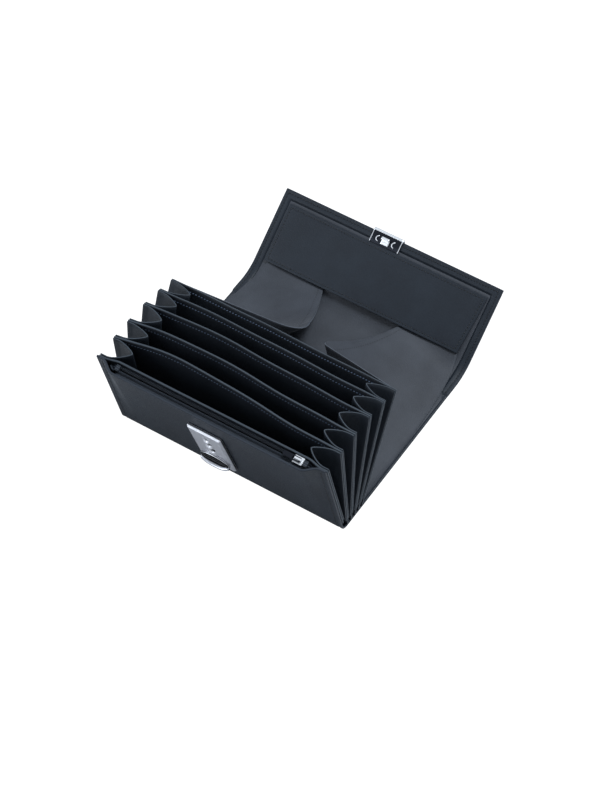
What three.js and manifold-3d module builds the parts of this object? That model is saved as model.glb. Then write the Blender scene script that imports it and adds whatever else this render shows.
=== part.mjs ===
// A waiter's wallet in black leather, standing open: a bellows of five note compartments on a cover
// that lies on the table, a coin tray behind it, and a flap with a slip pocket that rises at the back.
// Millimetres. X runs along the spine, the front faces -Y and +Z is up from the table.
import * as THREE from "three";
import { mergeVertices } from "three/addons/utils/BufferGeometryUtils.js";
import Module from "manifold-3d";

const wasm = await Module();
wasm.setup();

const degrees = THREE.MathUtils.degToRad;

// Leather cover
const LENGTH = 180; // along the spine
const COVER_THICKNESS = 1.6;
const SPINE_RADIUS = 8; // outside of the bend between the front panel and the back
const FRONT_HEIGHT = 91; // straight part of the front panel, above the spine's bend
const FRONT_LEAN = degrees(15.5); // the front panel leans away from the bellows
const FRONT_BULGE = 6.5; // how far the top edge stands forward between its two corners
const BACK_LENGTH = 144; // flat on the table, from the spine's bend to the flap's bend
const FLAP_BEND_RADIUS = 32;
const FLAP_ANGLE = degrees(39.5);
const FLAP_LENGTH = 54.5; // straight part of the flap
const HEM_WIDTH = 6; // edge turned over onto the lining
const HEM_THICKNESS = 1;
const LINING_THICKNESS = 0.8;
const SEAT = 0.3; // gap between pieces that touch
const FOLD_GAP = 2.6; // the cover is cut through at the fold, so that the flap can turn
const LINING_FOLD_GAP = 0.9;

// Bellows
const PANEL_THICKNESS = 1.6;
const PANEL_HEIGHT = 92;
const PANEL_LEANS = [-7.2, 0.4, 9.4, 17.8, 25.3].map(degrees); // dividers 1 to 4 and the rear panel
const PANEL_BOWS = [7, 5.5, 4.5, 3, 1.5]; // how far each curves back at its top edge
const FIRST_FOOT = 0.5; // behind the spine's bend
const FOOT_PITCH = 4.6;
const GUSSET_THICKNESS = 0.9;
const GUSSET_SEAM = 4; // sewn edge of a gusset, flat on the panel
const GUSSET_LEG = 20; // from the panel's edge to the gusset's fold
const GUSSET_FOLD_RADIUS = 0.75;
const GUSSET_FOOT = 5; // height at which the gussets start
const FIRST_GUSSET_FOOT = 22; // the same beside the zip pocket, whose wall is close to the first divider

// Zip pocket in the front compartment
const WALL_HEIGHT = 88; // up the front panel, from the spine's bend
const WALL_FOOT = 3;
const WALL_STANDOFF = 10.5; // behind the front panel at the zip
const PLATEAU = 74; // half the length over which the front panel and the wall run straight
const ZIP_HEIGHT = 86; // up the front panel, from the spine's bend
const ZIP_LENGTH = 157;
const TAPE_THICKNESS = 0.6;
const COIL_WIDTH = 1.6;
const COIL_HEIGHT = 1.4;
const CHAIN_GAP = 1.2; // between the two coils, for the slider's web
const SLIDER_LENGTH = 7;
const SLIDER_PLATE = 0.8;
const SLIDER_WEB = 0.6;
const CROWN_HEIGHT = 2.6;
const CROWN_WIDTH = 1.4;
const RUNNING_GAP = 0.25;
const PULL_LENGTH = 12;
const PULL_WIDTH = 3.6;
const PULL_THICKNESS = 0.8;
const STOP_LENGTH = 3;
const STOP_HEIGHT = 2.2;

// Coin tray: a folded leather leaf at each side, from the rear panel to the flap
const EAR_THICKNESS = 1;
const EAR_INSET = 1.5; // from the end of the cover
const EAR_APEX = new THREE.Vector3(7, 98.6, 40); // inner point of the fold, right side
const EAR_ROUNDS = { left: 0.26, right: 0.08 }; // share of each free edge that the rounded point takes
const EAR_MOUTH = 32; // from the middle of the wallet to the leaf's end at the pocket
const EAR_FOOT = 5; // height up the rear panel at which a leaf starts
const EAR_SAG = 6; // how far its free edge hangs between the point and the pocket
const EAR_UPRIGHT = 0.4; // share of its sewn edge that runs up the rear panel
const EAR_POINT = [0.34, 0.46]; // the rounded point, as shares along its free edge

// Slip pocket on the flap
const POCKET_START = 0.8; // up the flap, from the end of its bend
const POCKET_WIDTH = 44.6;
const POCKET_INSET = 7.5; // from each end of the flap
const POCKET_THICKNESS = 1.2;
const POCKET_LIFT = 2.2; // how far the open lip stands off the lining

// Lock on the front panel
const LOCK_X = -4; // the lock and the clip sit a little left of the middle
const LOCK_WIDTH = 26;
const LOCK_HEIGHT = 56;
const LOCK_BOTTOM = 14; // up the front panel, from the spine's bend
const LOCK_THICKNESS = 3;
const LOCK_WALL = 1.2;
const LOCK_BEVEL = 0.7;
const RIVET_RADIUS = 1.1;
const RIVET_HEAD = 1.9;
const RIVET_HEAD_HEIGHT = 0.5;
const RIVET_INSET = 3.4;
const LOUVRES = [
  { up: 46, radius: 1.9 },
  { up: 37, radius: 2.5 },
  { up: 27.5, radius: 3.2 },
];
const THUMB_WIDTH = 20;
const THUMB_HEIGHT = 15;
const THUMB_THICKNESS = 2.4;
const THUMB_LIP = 2.2; // the lip stands this much further out
const THUMB_BOTTOM = 5; // above the lower edge of the lock plate
const RIB_PLACES = [4.4, 6.8, 9.2]; // up the slide
const RIB_HEIGHT = 0.6;
const THUMB_TRAVEL = 4;
const SHANK_WIDTH = 5;
const SHANK_HEIGHT = 4;
const BACKING_THICKNESS = 0.8;
const SPRING_WIRE = 0.5;
const SPRING_TURNS = 5;
const SPRING_REACH = 2.6; // from the middle of the lock to each bend of the spring

// Metal edge clip on the flap
const CLIP_WIDTH = 24;
const CLIP_DEPTH = 8.7;
const CLIP_THICKNESS = 0.8;
const CLAW_RADIUS = 2;
const CLAW_WIRE = 0.9;
const CLAW_OFFSET = 6.5; // from the middle of the clip
const HOOK_WIDTH = 6;
const HOOK_HEIGHT = 3;
const HOOK_THICKNESS = 0.8;

const half = LENGTH / 2;
const spineTurn = Math.PI / 2 - FRONT_LEAN;
const spineMid = SPINE_RADIUS - COVER_THICKNESS / 2;
const bendLength = FLAP_BEND_RADIUS * FLAP_ANGLE;
const foldAt = BACK_LENGTH + bendLength / 2; // the hinge line, along the cover from the spine's bend
const flapEnd = BACK_LENGTH + bendLength + FLAP_LENGTH;
const frontEnd = -(spineMid * spineTurn + FRONT_HEIGHT);
const coverTop = COVER_THICKNESS / 2 + HEM_THICKNESS; // top of the hem, from the middle of the leather

const leather = new THREE.MeshStandardMaterial({ color: 0x1a1c24, roughness: 0.55, metalness: 0 });
const lining = new THREE.MeshStandardMaterial({ color: 0x23252e, roughness: 0.6, metalness: 0 });
const steel = new THREE.MeshStandardMaterial({ color: 0xb4bccc, roughness: 0.25, metalness: 1 });
const darkSteel = new THREE.MeshStandardMaterial({ color: 0x3a3f4a, roughness: 0.35, metalness: 1 });
const tape = new THREE.MeshStandardMaterial({ color: 0x1d2230, roughness: 0.9, metalness: 0 });

function point(x, y, z) {
  return new THREE.Vector3(x, y, z);
}

function mix(a, b, share) {
  return a.clone().lerp(b, share);
}

// How straight the front panel and the pocket's wall run: 1 along the middle, 0 at the side seams.
function plateau(x) {
  const seam = half - GUSSET_SEAM;
  return 1 - THREE.MathUtils.smoothstep(Math.abs(x), PLATEAU, seam);
}

// A divider's curve along its length: none at its two ends, and 1 at its deepest, left of the middle.
function bow(x) {
  const share = THREE.MathUtils.clamp((x + half) / LENGTH, 0, 1);
  return Math.sin(Math.PI * share ** 0.6) ** 2;
}

// The cover from the side: where its middle line is and how it heads, at a distance from the spine's bend.
// Distances below zero go round the spine and up the front panel.
function coverAt(distance) {
  const back = distance >= 0;
  const flat = back ? Math.min(distance, BACK_LENGTH) : 0;
  const radius = back ? FLAP_BEND_RADIUS : spineMid;
  const turn = back ? FLAP_ANGLE : spineTurn;
  const beyond = Math.abs(distance) - flat;
  const bend = Math.min(beyond / radius, turn);
  const straight = Math.max(0, beyond - radius * turn);
  const along = flat + radius * Math.sin(bend) + straight * Math.cos(bend);
  const up = radius * (1 - Math.cos(bend)) + straight * Math.sin(bend);
  return { y: back ? along : -along, z: COVER_THICKNESS / 2 + up, heading: back ? bend : -bend };
}

// A point at a height above the middle of the cover's leather, on its inner side.
// The front panel bulges forward between its corners.
function onCover(x, distance, height, bulges = true) {
  const { y, z, heading } = coverAt(distance);
  const climb = Math.max(0, -distance - spineMid * spineTurn) / FRONT_HEIGHT;
  const bulge = bulges ? FRONT_BULGE * plateau(x) * climb ** 1.3 : 0;
  const out = height - bulge;
  return point(x, y - Math.sin(heading) * out, z + Math.cos(heading) * out);
}

function frontDistance(height) {
  return -(spineMid * spineTurn + height);
}

// A point on the middle of a divider, or of the rear panel (index 4), at a height up its own slope.
function onPanel(index, x, height, offset = 0) {
  const lean = PANEL_LEANS[index];
  const curve = PANEL_BOWS[index] * bow(x) * (height / PANEL_HEIGHT) ** 1.5;
  const out = offset + curve;
  const footY = FIRST_FOOT + index * FOOT_PITCH;
  const footZ = COVER_THICKNESS + SEAT + (PANEL_THICKNESS / 2) * Math.sin(Math.abs(lean));
  const y = footY + Math.sin(lean) * height + Math.cos(lean) * out;
  const z = footZ + Math.cos(lean) * height - Math.sin(lean) * out;
  return point(x, y, z);
}

// A point on the middle of the zip pocket's wall: close to the front panel at its foot and its sides.
function onWall(x, height, offset = 0) {
  const climb = Math.max(0, height) / FRONT_HEIGHT;
  const stand = (COVER_THICKNESS + PANEL_THICKNESS) / 2 + SEAT;
  const free = (WALL_STANDOFF - stand) * plateau(x) * climb ** 0.8;
  return onCover(x, frontDistance(height), stand + free + offset);
}

// A sheet of leather: a unit box whose grid is carried onto a surface, half the thickness to each side.
// rise(u, v) lifts the upper face above that.
function sheet(surface, thickness, uSteps, vSteps, rise = () => 0) {
  const box = new THREE.BoxGeometry(1, 1, 1, uSteps, vSteps, 1);
  box.deleteAttribute("normal");
  box.deleteAttribute("uv");
  const geometry = mergeVertices(box, 1e-5);
  const position = geometry.getAttribute("position");
  const step = 1e-3;
  for (let i = 0; i < position.count; i++) {
    const u = position.getX(i) + 0.5;
    const v = position.getY(i) + 0.5;
    const side = position.getZ(i);
    const alongU = surface(Math.min(1, u + step), v).sub(surface(Math.max(0, u - step), v));
    const alongV = surface(u, Math.min(1, v + step)).sub(surface(u, Math.max(0, v - step)));
    const normal = alongU.cross(alongV).normalize();
    const lift = side * thickness + (side > 0 ? rise(u, v) : 0);
    const moved = surface(u, v).addScaledVector(normal, lift);
    position.setXYZ(i, moved.x, moved.y, moved.z);
  }
  return geometry;
}

function solid(geometry) {
  const source = geometry.clone();
  source.deleteAttribute("normal");
  source.deleteAttribute("uv");
  const merged = mergeVertices(source, 1e-4);
  return new wasm.Manifold(
    new wasm.Mesh({
      numProp: 3,
      vertProperties: Float32Array.from(merged.attributes.position.array),
      triVerts: Uint32Array.from(merged.index.array),
    }),
  );
}

function geometryOf(manifold) {
  const mesh = manifold.getMesh();
  const geometry = new THREE.BufferGeometry();
  geometry.setAttribute("position", new THREE.BufferAttribute(mesh.vertProperties, 3));
  geometry.setIndex(new THREE.BufferAttribute(mesh.triVerts, 1));
  return geometry;
}

function cut(geometry, ...tools) {
  return geometryOf(tools.reduce((left, tool) => left.subtract(solid(tool)), solid(geometry)));
}

function join(...geometries) {
  return geometryOf(geometries.map(solid).reduce((all, next) => all.add(next)));
}

function box(width, depth, height, x = 0, y = 0, z = 0) {
  return new THREE.BoxGeometry(width, depth, height).translate(x, y, z);
}

// A round bar along Z, from one height to another.
function bar(radius, low, high, x = 0, y = 0, sides = 16) {
  const cylinder = new THREE.CylinderGeometry(radius, radius, high - low, sides);
  return cylinder.rotateX(Math.PI / 2).translate(x, y, (low + high) / 2);
}

// An outline's points, without the doubles where two of its arcs and lines meet.
function outlinePoints(path, curveSegments) {
  const points = path.getPoints(curveSegments);
  return points.filter((p, i) => p.distanceTo(points[(i + 1) % points.length]) > 1e-4);
}

function extrude(shape, depth, curveSegments = 8, bevel = 0) {
  const outline = new THREE.Shape(outlinePoints(shape, curveSegments));
  outline.holes = shape.holes.map((hole) => new THREE.Path(outlinePoints(hole, curveSegments)));
  return new THREE.ExtrudeGeometry(outline, {
    depth,
    bevelEnabled: bevel > 0,
    bevelThickness: bevel,
    bevelSize: bevel,
    bevelSegments: 2,
  });
}

// A side profile, given as (y, z) points, drawn out along X and centred there.
function alongX(profile, width) {
  const shape = new THREE.Shape(profile.map(([y, z]) => new THREE.Vector2(y, z)));
  return extrude(shape, width)
    .rotateZ(Math.PI / 2)
    .rotateY(Math.PI / 2)
    .translate(-width / 2, 0, 0);
}

// A group whose X runs along the wallet, whose Y climbs the leather and whose Z stands out from it.
function frameOn(origin, up) {
  const group = new THREE.Group();
  const across = point(1, 0, 0);
  const climb = up.clone().normalize();
  const out = across.clone().cross(climb);
  group.matrix.makeBasis(across, climb, out).setPosition(origin);
  group.matrix.decompose(group.position, group.quaternion, group.scale);
  return group;
}

function add(group, name, geometry, material) {
  geometry.computeVertexNormals();
  const mesh = new THREE.Mesh(geometry, material);
  mesh.name = name;
  group.add(mesh);
  return mesh;
}

const wallet = new THREE.Group();

const lockUp = onCover(LOCK_X, frontDistance(LOCK_BOTTOM + LOCK_HEIGHT), 0)
  .sub(onCover(LOCK_X, frontDistance(LOCK_BOTTOM), 0));
const lock = frameOn(
  onCover(LOCK_X, frontDistance(LOCK_BOTTOM), -COVER_THICKNESS / 2 - SEAT),
  lockUp,
);
const rivetPlaces = [-1, 1].flatMap((side) =>
  [RIVET_INSET, LOCK_HEIGHT - RIVET_INSET].map((up) => [side * (LOCK_WIDTH / 2 - RIVET_INSET), up]),
);

function placed(geometry, group) {
  group.updateMatrix();
  return geometry.clone().applyMatrix4(group.matrix);
}

// One leather piece: the front panel, the rounded spine and the back, up to the flap's fold.
function coverBack() {
  const last = foldAt - FOLD_GAP / 2;
  const stops = [frontEnd, ...spineStops(), ...backStops(last)];
  const across = stations();
  const surface = (u, v) => onCover(stopAt(across, u), stopAt(stops, v), 0);
  const leatherPiece = sheet(surface, COVER_THICKNESS, across.length - 1, stops.length - 1);
  const holes = rivetPlaces.map(([x, y]) => bar(RIVET_RADIUS + SEAT, -9, 9, x, y));
  return cut(leatherPiece, ...holes.map((hole) => placed(hole, lock)));
}

// Places along X where the front panel and the pocket's wall are given a point each, the same on both.
function stations() {
  const seam = half - GUSSET_SEAM;
  const turn = [1, 2 / 3, 1 / 3].map((share) => PLATEAU + (seam - PLATEAU) * share);
  const right = [half, ...turn, PLATEAU, PLATEAU / 2];
  return [...right.map((x) => -x), 0, ...right.reverse()];
}

function spineStops() {
  const rise = [0.8, 0.6, 0.4, 0.2, 0].map((share) => frontDistance(FRONT_HEIGHT * share));
  const round = [0.75, 0.5, 0.25, 0].map((share) => -spineMid * spineTurn * share);
  return [...rise, ...round];
}

function backStops(last) {
  return [BACK_LENGTH / 2, BACK_LENGTH, (BACK_LENGTH + last) / 2, last];
}

// The value at a share of the way through a list of stops, each stretch taking the same share.
function stopAt(stops, share) {
  const place = share * (stops.length - 1);
  const index = Math.min(Math.floor(place), stops.length - 2);
  return THREE.MathUtils.lerp(stops[index], stops[index + 1], place - index);
}

function flapStops(first, last) {
  const bendEnd = BACK_LENGTH + bendLength;
  return [first, (first + bendEnd) / 2, bendEnd, last];
}

// The flap: leather with its edge turned over on the three free sides.
function coverFlap() {
  const inner = half - HEM_WIDTH;
  const hemStep = 1.8; // the hem's edge slopes down to the leather over this width
  const across = [-half, -inner, hemStep - inner, 0, inner - hemStep, inner, half];
  const tip = flapEnd - HEM_WIDTH;
  const stops = [...flapStops(foldAt + FOLD_GAP / 2, tip - 0.5), tip, flapEnd];
  const surface = (u, v) => onCover(stopAt(across, u), stopAt(stops, v), 0);
  const rise = (u, v) => {
    const atSide = Math.abs(stopAt(across, u)) >= inner - 1e-6;
    const atTip = stopAt(stops, v) >= tip - 1e-6;
    return atSide || atTip ? HEM_THICKNESS : 0;
  };
  return sheet(surface, COVER_THICKNESS, across.length - 1, stops.length - 1, rise);
}

const liningHalf = half - HEM_WIDTH - 3;
const liningHeight = COVER_THICKNESS / 2 + SEAT / 2 + LINING_THICKNESS / 2;

function backLining() {
  const first = FIRST_FOOT + 4 * FOOT_PITCH + PANEL_THICKNESS + SEAT * 2;
  const last = foldAt - LINING_FOLD_GAP / 2;
  const stops = [first, BACK_LENGTH / 2, BACK_LENGTH, (BACK_LENGTH + last) / 2, last];
  const surface = (u, v) =>
    onCover(THREE.MathUtils.lerp(-half + EAR_INSET, half - EAR_INSET, u), stopAt(stops, v), liningHeight);
  return sheet(surface, LINING_THICKNESS, 2, stops.length - 1);
}

function flapLining() {
  const stops = flapStops(foldAt + LINING_FOLD_GAP / 2, flapEnd - HEM_WIDTH - 1);
  const surface = (u, v) =>
    onCover(THREE.MathUtils.lerp(-liningHalf, liningHalf, u), stopAt(stops, v), liningHeight);
  return sheet(surface, LINING_THICKNESS, 2, stops.length - 1);
}

// The slip pocket on the flap: its lip, towards the bend, stands open a little.
function flapPocket() {
  const first = BACK_LENGTH + bendLength + POCKET_START;
  const seat = liningHeight + (LINING_THICKNESS + POCKET_THICKNESS) / 2 + SEAT;
  const surface = (u, v) => {
    const x = THREE.MathUtils.lerp(-half + POCKET_INSET, half - POCKET_INSET, u);
    const lift = POCKET_LIFT * (1 - v) ** 2 * Math.sin(Math.PI * u) ** 0.5;
    return onCover(x, first + v * POCKET_WIDTH, seat + lift);
  };
  return sheet(surface, POCKET_THICKNESS, 12, 6);
}

function panel(index) {
  const surface = (u, v) => onPanel(index, THREE.MathUtils.lerp(-half, half, u), v * PANEL_HEIGHT);
  return sheet(surface, PANEL_THICKNESS, 16, 5);
}

function pocketWall() {
  const across = stations();
  const surface = (u, v) => onWall(stopAt(across, u), THREE.MathUtils.lerp(WALL_FOOT, WALL_HEIGHT, v));
  return sheet(surface, PANEL_THICKNESS, across.length - 1, 5);
}

// A gusset is a strip folded inwards between two panels. index 0 joins the pocket's wall and divider 1.
function gusset(index, side) {
  const seat = (PANEL_THICKNESS + GUSSET_THICKNESS) / 2 + SEAT;
  const front = (x, h) => (index === 0 ? onWall(x, h, seat) : onPanel(index - 1, x, h, seat));
  const rear = (x, h) => onPanel(index, x, h, -seat);
  const top = index === 0 ? WALL_HEIGHT : PANEL_HEIGHT;
  const low = index === 0 ? FIRST_GUSSET_FOOT : GUSSET_FOOT;
  const surface = (u, v) => {
    const share = side > 0 ? 1 - u : u;
    const frontHeight = THREE.MathUtils.lerp(low, top, v);
    const rearHeight = THREE.MathUtils.lerp(low, PANEL_HEIGHT, v);
    const edge = side * half;
    const seam = side * (half - GUSSET_SEAM);
    const gap = front(edge, frontHeight).distanceTo(rear(edge, rearHeight));
    const depth = Math.sqrt(Math.max(0, GUSSET_LEG ** 2 - (gap / 2) ** 2));
    const deepest = side * (half - depth);
    const fold = mix(front(deepest, frontHeight), rear(deepest, rearHeight), 0.5);
    const across = rear(seam, rearHeight).sub(front(seam, frontHeight)).normalize();
    const inner = fold.clone().add(point(side * GUSSET_FOLD_RADIUS, 0, 0));
    const legs = [
      front(edge, frontHeight),
      front(seam, frontHeight),
      inner.clone().addScaledVector(across, -GUSSET_FOLD_RADIUS),
      fold,
      inner.clone().addScaledVector(across, GUSSET_FOLD_RADIUS),
      rear(seam, rearHeight),
      rear(edge, rearHeight),
    ];
    const place = share * (legs.length - 1);
    const leg = Math.min(Math.floor(place), legs.length - 2);
    return mix(legs[leg], legs[leg + 1], place - leg);
  };
  return sheet(surface, GUSSET_THICKNESS, 6, 6);
}

// A coin gusset: a leaf sewn up the rear panel's side and along the cover's side, creased from the
// foot to its inner point. Its free edge runs from the panel's top corner round that point to the pocket.
function coinGusset(side, round) {
  const x = half - EAR_INSET;
  const panelSeat = (PANEL_THICKNESS + EAR_THICKNESS) / 2 + SEAT;
  const coverSeat = liningHeight + (LINING_THICKNESS + EAR_THICKNESS) / 2 + SEAT;
  const last = BACK_LENGTH + bendLength + POCKET_START - 2 * SEAT;
  const corner = onPanel(4, x, PANEL_HEIGHT - 1, panelSeat);
  const foot = onPanel(4, x, EAR_FOOT, panelSeat);
  const mouth = onCover(EAR_MOUTH, last, coverSeat);
  const sewn = (u) => {
    if (u < EAR_UPRIGHT) {
      const height = THREE.MathUtils.lerp(PANEL_HEIGHT - 1, EAR_FOOT, u / EAR_UPRIGHT);
      return onPanel(4, x, height, panelSeat);
    }
    const share = (u - EAR_UPRIGHT) / (1 - EAR_UPRIGHT);
    const along = THREE.MathUtils.lerp(foot.y + 2, last, share);
    return onCover(THREE.MathUtils.lerp(x, half - POCKET_INSET - 3, share ** 4), along, coverSeat);
  };
  const [from, to] = EAR_POINT;
  const free = (u) => {
    const bend = new THREE.QuadraticBezierCurve3(
      mix(EAR_APEX, corner, round),
      EAR_APEX,
      mix(EAR_APEX, mouth, round),
    );
    if (u < from) return mix(corner, bend.v0, u / from);
    if (u < to) return bend.getPoint((u - from) / (to - from));
    const beyond = (u - to) / (1 - to);
    return mix(bend.v2, mouth, beyond).add(point(0, 0, -EAR_SAG * Math.sin(Math.PI * beyond)));
  };
  const firstShare = 0.02; // the leaf has a little width where it starts
  const surface = (u, v) => {
    const share = THREE.MathUtils.lerp(firstShare, 1, side > 0 ? u : 1 - u);
    const place = mix(sewn(share), free(share), v);
    return place.multiply(point(side, 1, 1));
  };
  return sheet(surface, EAR_THICKNESS, 24, 6);
}

// The zip lies across the pocket's mouth. Its frame has X along the zip, Y up and Z towards the front.
const zipUp = onCover(0, frontDistance(ZIP_HEIGHT), 0, false)
  .sub(onCover(0, frontDistance(ZIP_HEIGHT - 1), 0, false));
const zip = frameOn(onCover(0, frontDistance(ZIP_HEIGHT), 0, false), zipUp);

// Distance from the zip's centre line to the inner face of the front panel, or to the wall.
function zipReach(x, towardsFront) {
  const base = onCover(x, frontDistance(ZIP_HEIGHT), 0, false);
  if (towardsFront) {
    return onCover(x, frontDistance(ZIP_HEIGHT), 0).distanceTo(base) - COVER_THICKNESS / 2 - SEAT;
  }
  return onWall(x, ZIP_HEIGHT).distanceTo(base) - PANEL_THICKNESS / 2 - SEAT;
}

const coilEnd = ZIP_LENGTH / 2 - 6;
const tapeEnd = coilEnd + 2;
const sliderX = coilEnd - SLIDER_LENGTH / 2; // parked against the right stop
const sliderWidth = CHAIN_GAP + 2 * COIL_WIDTH + 1;
const sliderHigh = COIL_HEIGHT / 2 + SEAT / 2 + RUNNING_GAP + SLIDER_PLATE;
const sliderLow = -(COIL_HEIGHT / 2 + TAPE_THICKNESS + SEAT / 2 + RUNNING_GAP + SLIDER_PLATE);

function zipTape(towardsFront) {
  const across = [-tapeEnd, -PLATEAU, -PLATEAU / 2, 0, PLATEAU / 2, PLATEAU, tapeEnd];
  const surface = (u, v) => {
    const x = stopAt(across, u);
    const reach = zipReach(x, towardsFront);
    const out = towardsFront
      ? THREE.MathUtils.lerp(CHAIN_GAP / 2, reach, v)
      : -THREE.MathUtils.lerp(reach, CHAIN_GAP / 2, v);
    return point(x, -(COIL_HEIGHT + TAPE_THICKNESS) / 2 - SEAT / 2, out);
  };
  return sheet(surface, TAPE_THICKNESS, across.length - 1, 1);
}

function zipCoil(side) {
  const out = side * (CHAIN_GAP / 2 + COIL_WIDTH / 2);
  return box(2 * coilEnd, COIL_HEIGHT, COIL_WIDTH, 0, SEAT / 2, out);
}

// The slider: an upper and a lower plate joined by a web between the coils, with a crown for the pull.
function zipSlider() {
  const upper = box(SLIDER_LENGTH, SLIDER_PLATE, sliderWidth, 0, sliderHigh - SLIDER_PLATE / 2, 0);
  const lower = box(SLIDER_LENGTH, SLIDER_PLATE, sliderWidth, 0, sliderLow + SLIDER_PLATE / 2, 0);
  const webHeight = sliderHigh - sliderLow - SLIDER_PLATE;
  const middle = (sliderHigh + sliderLow) / 2;
  const web = box(SLIDER_LENGTH / 2, webHeight, SLIDER_WEB, SLIDER_LENGTH / 4, middle, 0);
  const sunk = 0.2; // the crown's feet reach this far into the upper plate
  const crownLength = SLIDER_LENGTH - 1.5;
  const crownMiddle = sliderHigh - sunk + CROWN_HEIGHT / 2;
  const crown = box(crownLength, CROWN_HEIGHT, CROWN_WIDTH, 0, crownMiddle, 0);
  const eyeHeight = CROWN_HEIGHT - 1.2;
  const eye = box(crownLength - 2, eyeHeight, 2 * CROWN_WIDTH, 0, sliderHigh + eyeHeight / 2, 0);
  return cut(join(upper, lower, web, crown), eye).translate(sliderX, 0, 0);
}

// The pull hangs on the crown by a loop and lies back along the zip.
function zipPull() {
  const low = sliderHigh + RUNNING_GAP;
  const near = 1.4;
  const far = 2 - PULL_LENGTH;
  const outline = new THREE.Shape();
  outline.moveTo(near, -PULL_WIDTH / 2);
  outline.lineTo(near, PULL_WIDTH / 2);
  outline.lineTo(far, PULL_WIDTH / 2);
  outline.absarc(far, 0, PULL_WIDTH / 2, Math.PI / 2, (3 * Math.PI) / 2, false);
  const loopStart = near - PULL_THICKNESS;
  const loopEnd = loopStart - 5.2;
  const window = new THREE.Path();
  window.moveTo(loopStart, -1);
  window.lineTo(loopEnd, -1);
  window.lineTo(loopEnd, 1);
  window.lineTo(loopStart, 1);
  outline.holes.push(window);
  return extrude(outline, PULL_THICKNESS)
    .rotateX(Math.PI / 2)
    .translate(sliderX, low + PULL_THICKNESS, 0);
}

function zipStop(side) {
  const middle = (SEAT + STOP_HEIGHT - COIL_HEIGHT) / 2;
  const body = box(STOP_LENGTH, STOP_HEIGHT, sliderWidth - 1, 0, middle, 0);
  return body.translate(side * (coilEnd + SEAT + STOP_LENGTH / 2), 0, 0);
}

// The lock's frame has its lower edge at y = 0 and the leather's outer face just below z = 0.
function roundedPlate(width, height, corner) {
  const w = width / 2;
  const shape = new THREE.Shape();
  shape.moveTo(-w + corner, 0);
  shape.lineTo(w - corner, 0);
  shape.absarc(w - corner, corner, corner, -Math.PI / 2, 0, false);
  shape.lineTo(w, height - corner);
  shape.absarc(w - corner, height - corner, corner, 0, Math.PI / 2, false);
  shape.lineTo(-w + corner, height);
  shape.absarc(-w + corner, height - corner, corner, Math.PI / 2, Math.PI, false);
  shape.lineTo(-w, corner);
  shape.absarc(-w + corner, corner, corner, Math.PI, (3 * Math.PI) / 2, false);
  return shape;
}

function crescent(radius) {
  const shape = new THREE.Shape();
  const raised = radius * 0.6;
  const tip = Math.atan2(raised, radius);
  shape.absarc(0, 0, radius, Math.PI, 2 * Math.PI, false);
  shape.absarc(0, raised, Math.hypot(radius, raised), -tip, tip - Math.PI, true);
  return shape;
}

function lockPlate() {
  const inset = LOCK_BEVEL;
  const face = roundedPlate(LOCK_WIDTH - 2 * inset, LOCK_HEIGHT - 2 * inset, 1);
  const body = extrude(face, LOCK_THICKNESS - inset, 3, inset).translate(0, inset, 0);
  const under = box(LOCK_WIDTH + 2, LOCK_HEIGHT + 2, 2, 0, LOCK_HEIGHT / 2, -1);
  const depth = LOCK_THICKNESS - LOCK_WALL;
  const cavity = box(LOCK_WIDTH - 12, LOCK_HEIGHT - 4, depth * 2, 0, LOCK_HEIGHT / 2, 0);
  const louvres = LOUVRES.map(({ up, radius }) => extrude(crescent(radius), 9, 6).translate(0, up, -1));
  const shankMiddle = THUMB_BOTTOM + THUMB_HEIGHT / 2;
  const slot = box(
    SHANK_WIDTH + 2 * RUNNING_GAP,
    SHANK_HEIGHT + THUMB_TRAVEL + 2 * RUNNING_GAP,
    9,
    0,
    shankMiddle - THUMB_TRAVEL / 2,
    4,
  );
  const holes = rivetPlaces.map(([x, y]) => bar(RIVET_RADIUS + SEAT, -1, depth, x, y));
  return cut(body, under, cavity, ...louvres, slot, ...holes);
}

function lockBacking() {
  const inside = -(SEAT + COVER_THICKNESS + SEAT + BACKING_THICKNESS);
  const outline = roundedPlate(LOCK_WIDTH - 2, LOCK_HEIGHT, 2);
  const plate = extrude(outline, BACKING_THICKNESS).translate(0, 0, inside);
  return cut(plate, ...rivetPlaces.map(([x, y]) => bar(RIVET_RADIUS + SEAT, -9, 9, x, y)));
}

// A rivet pressed into the plate from behind: it passes the leather and is headed inside the pocket.
function lockRivet([x, y]) {
  const inner = -(3 * SEAT + COVER_THICKNESS + BACKING_THICKNESS);
  const shaft = bar(RIVET_RADIUS, inner, LOCK_THICKNESS - LOCK_WALL - SEAT, x, y);
  return join(shaft, bar(RIVET_HEAD, inner - RIVET_HEAD_HEIGHT, inner, x, y));
}

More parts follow.
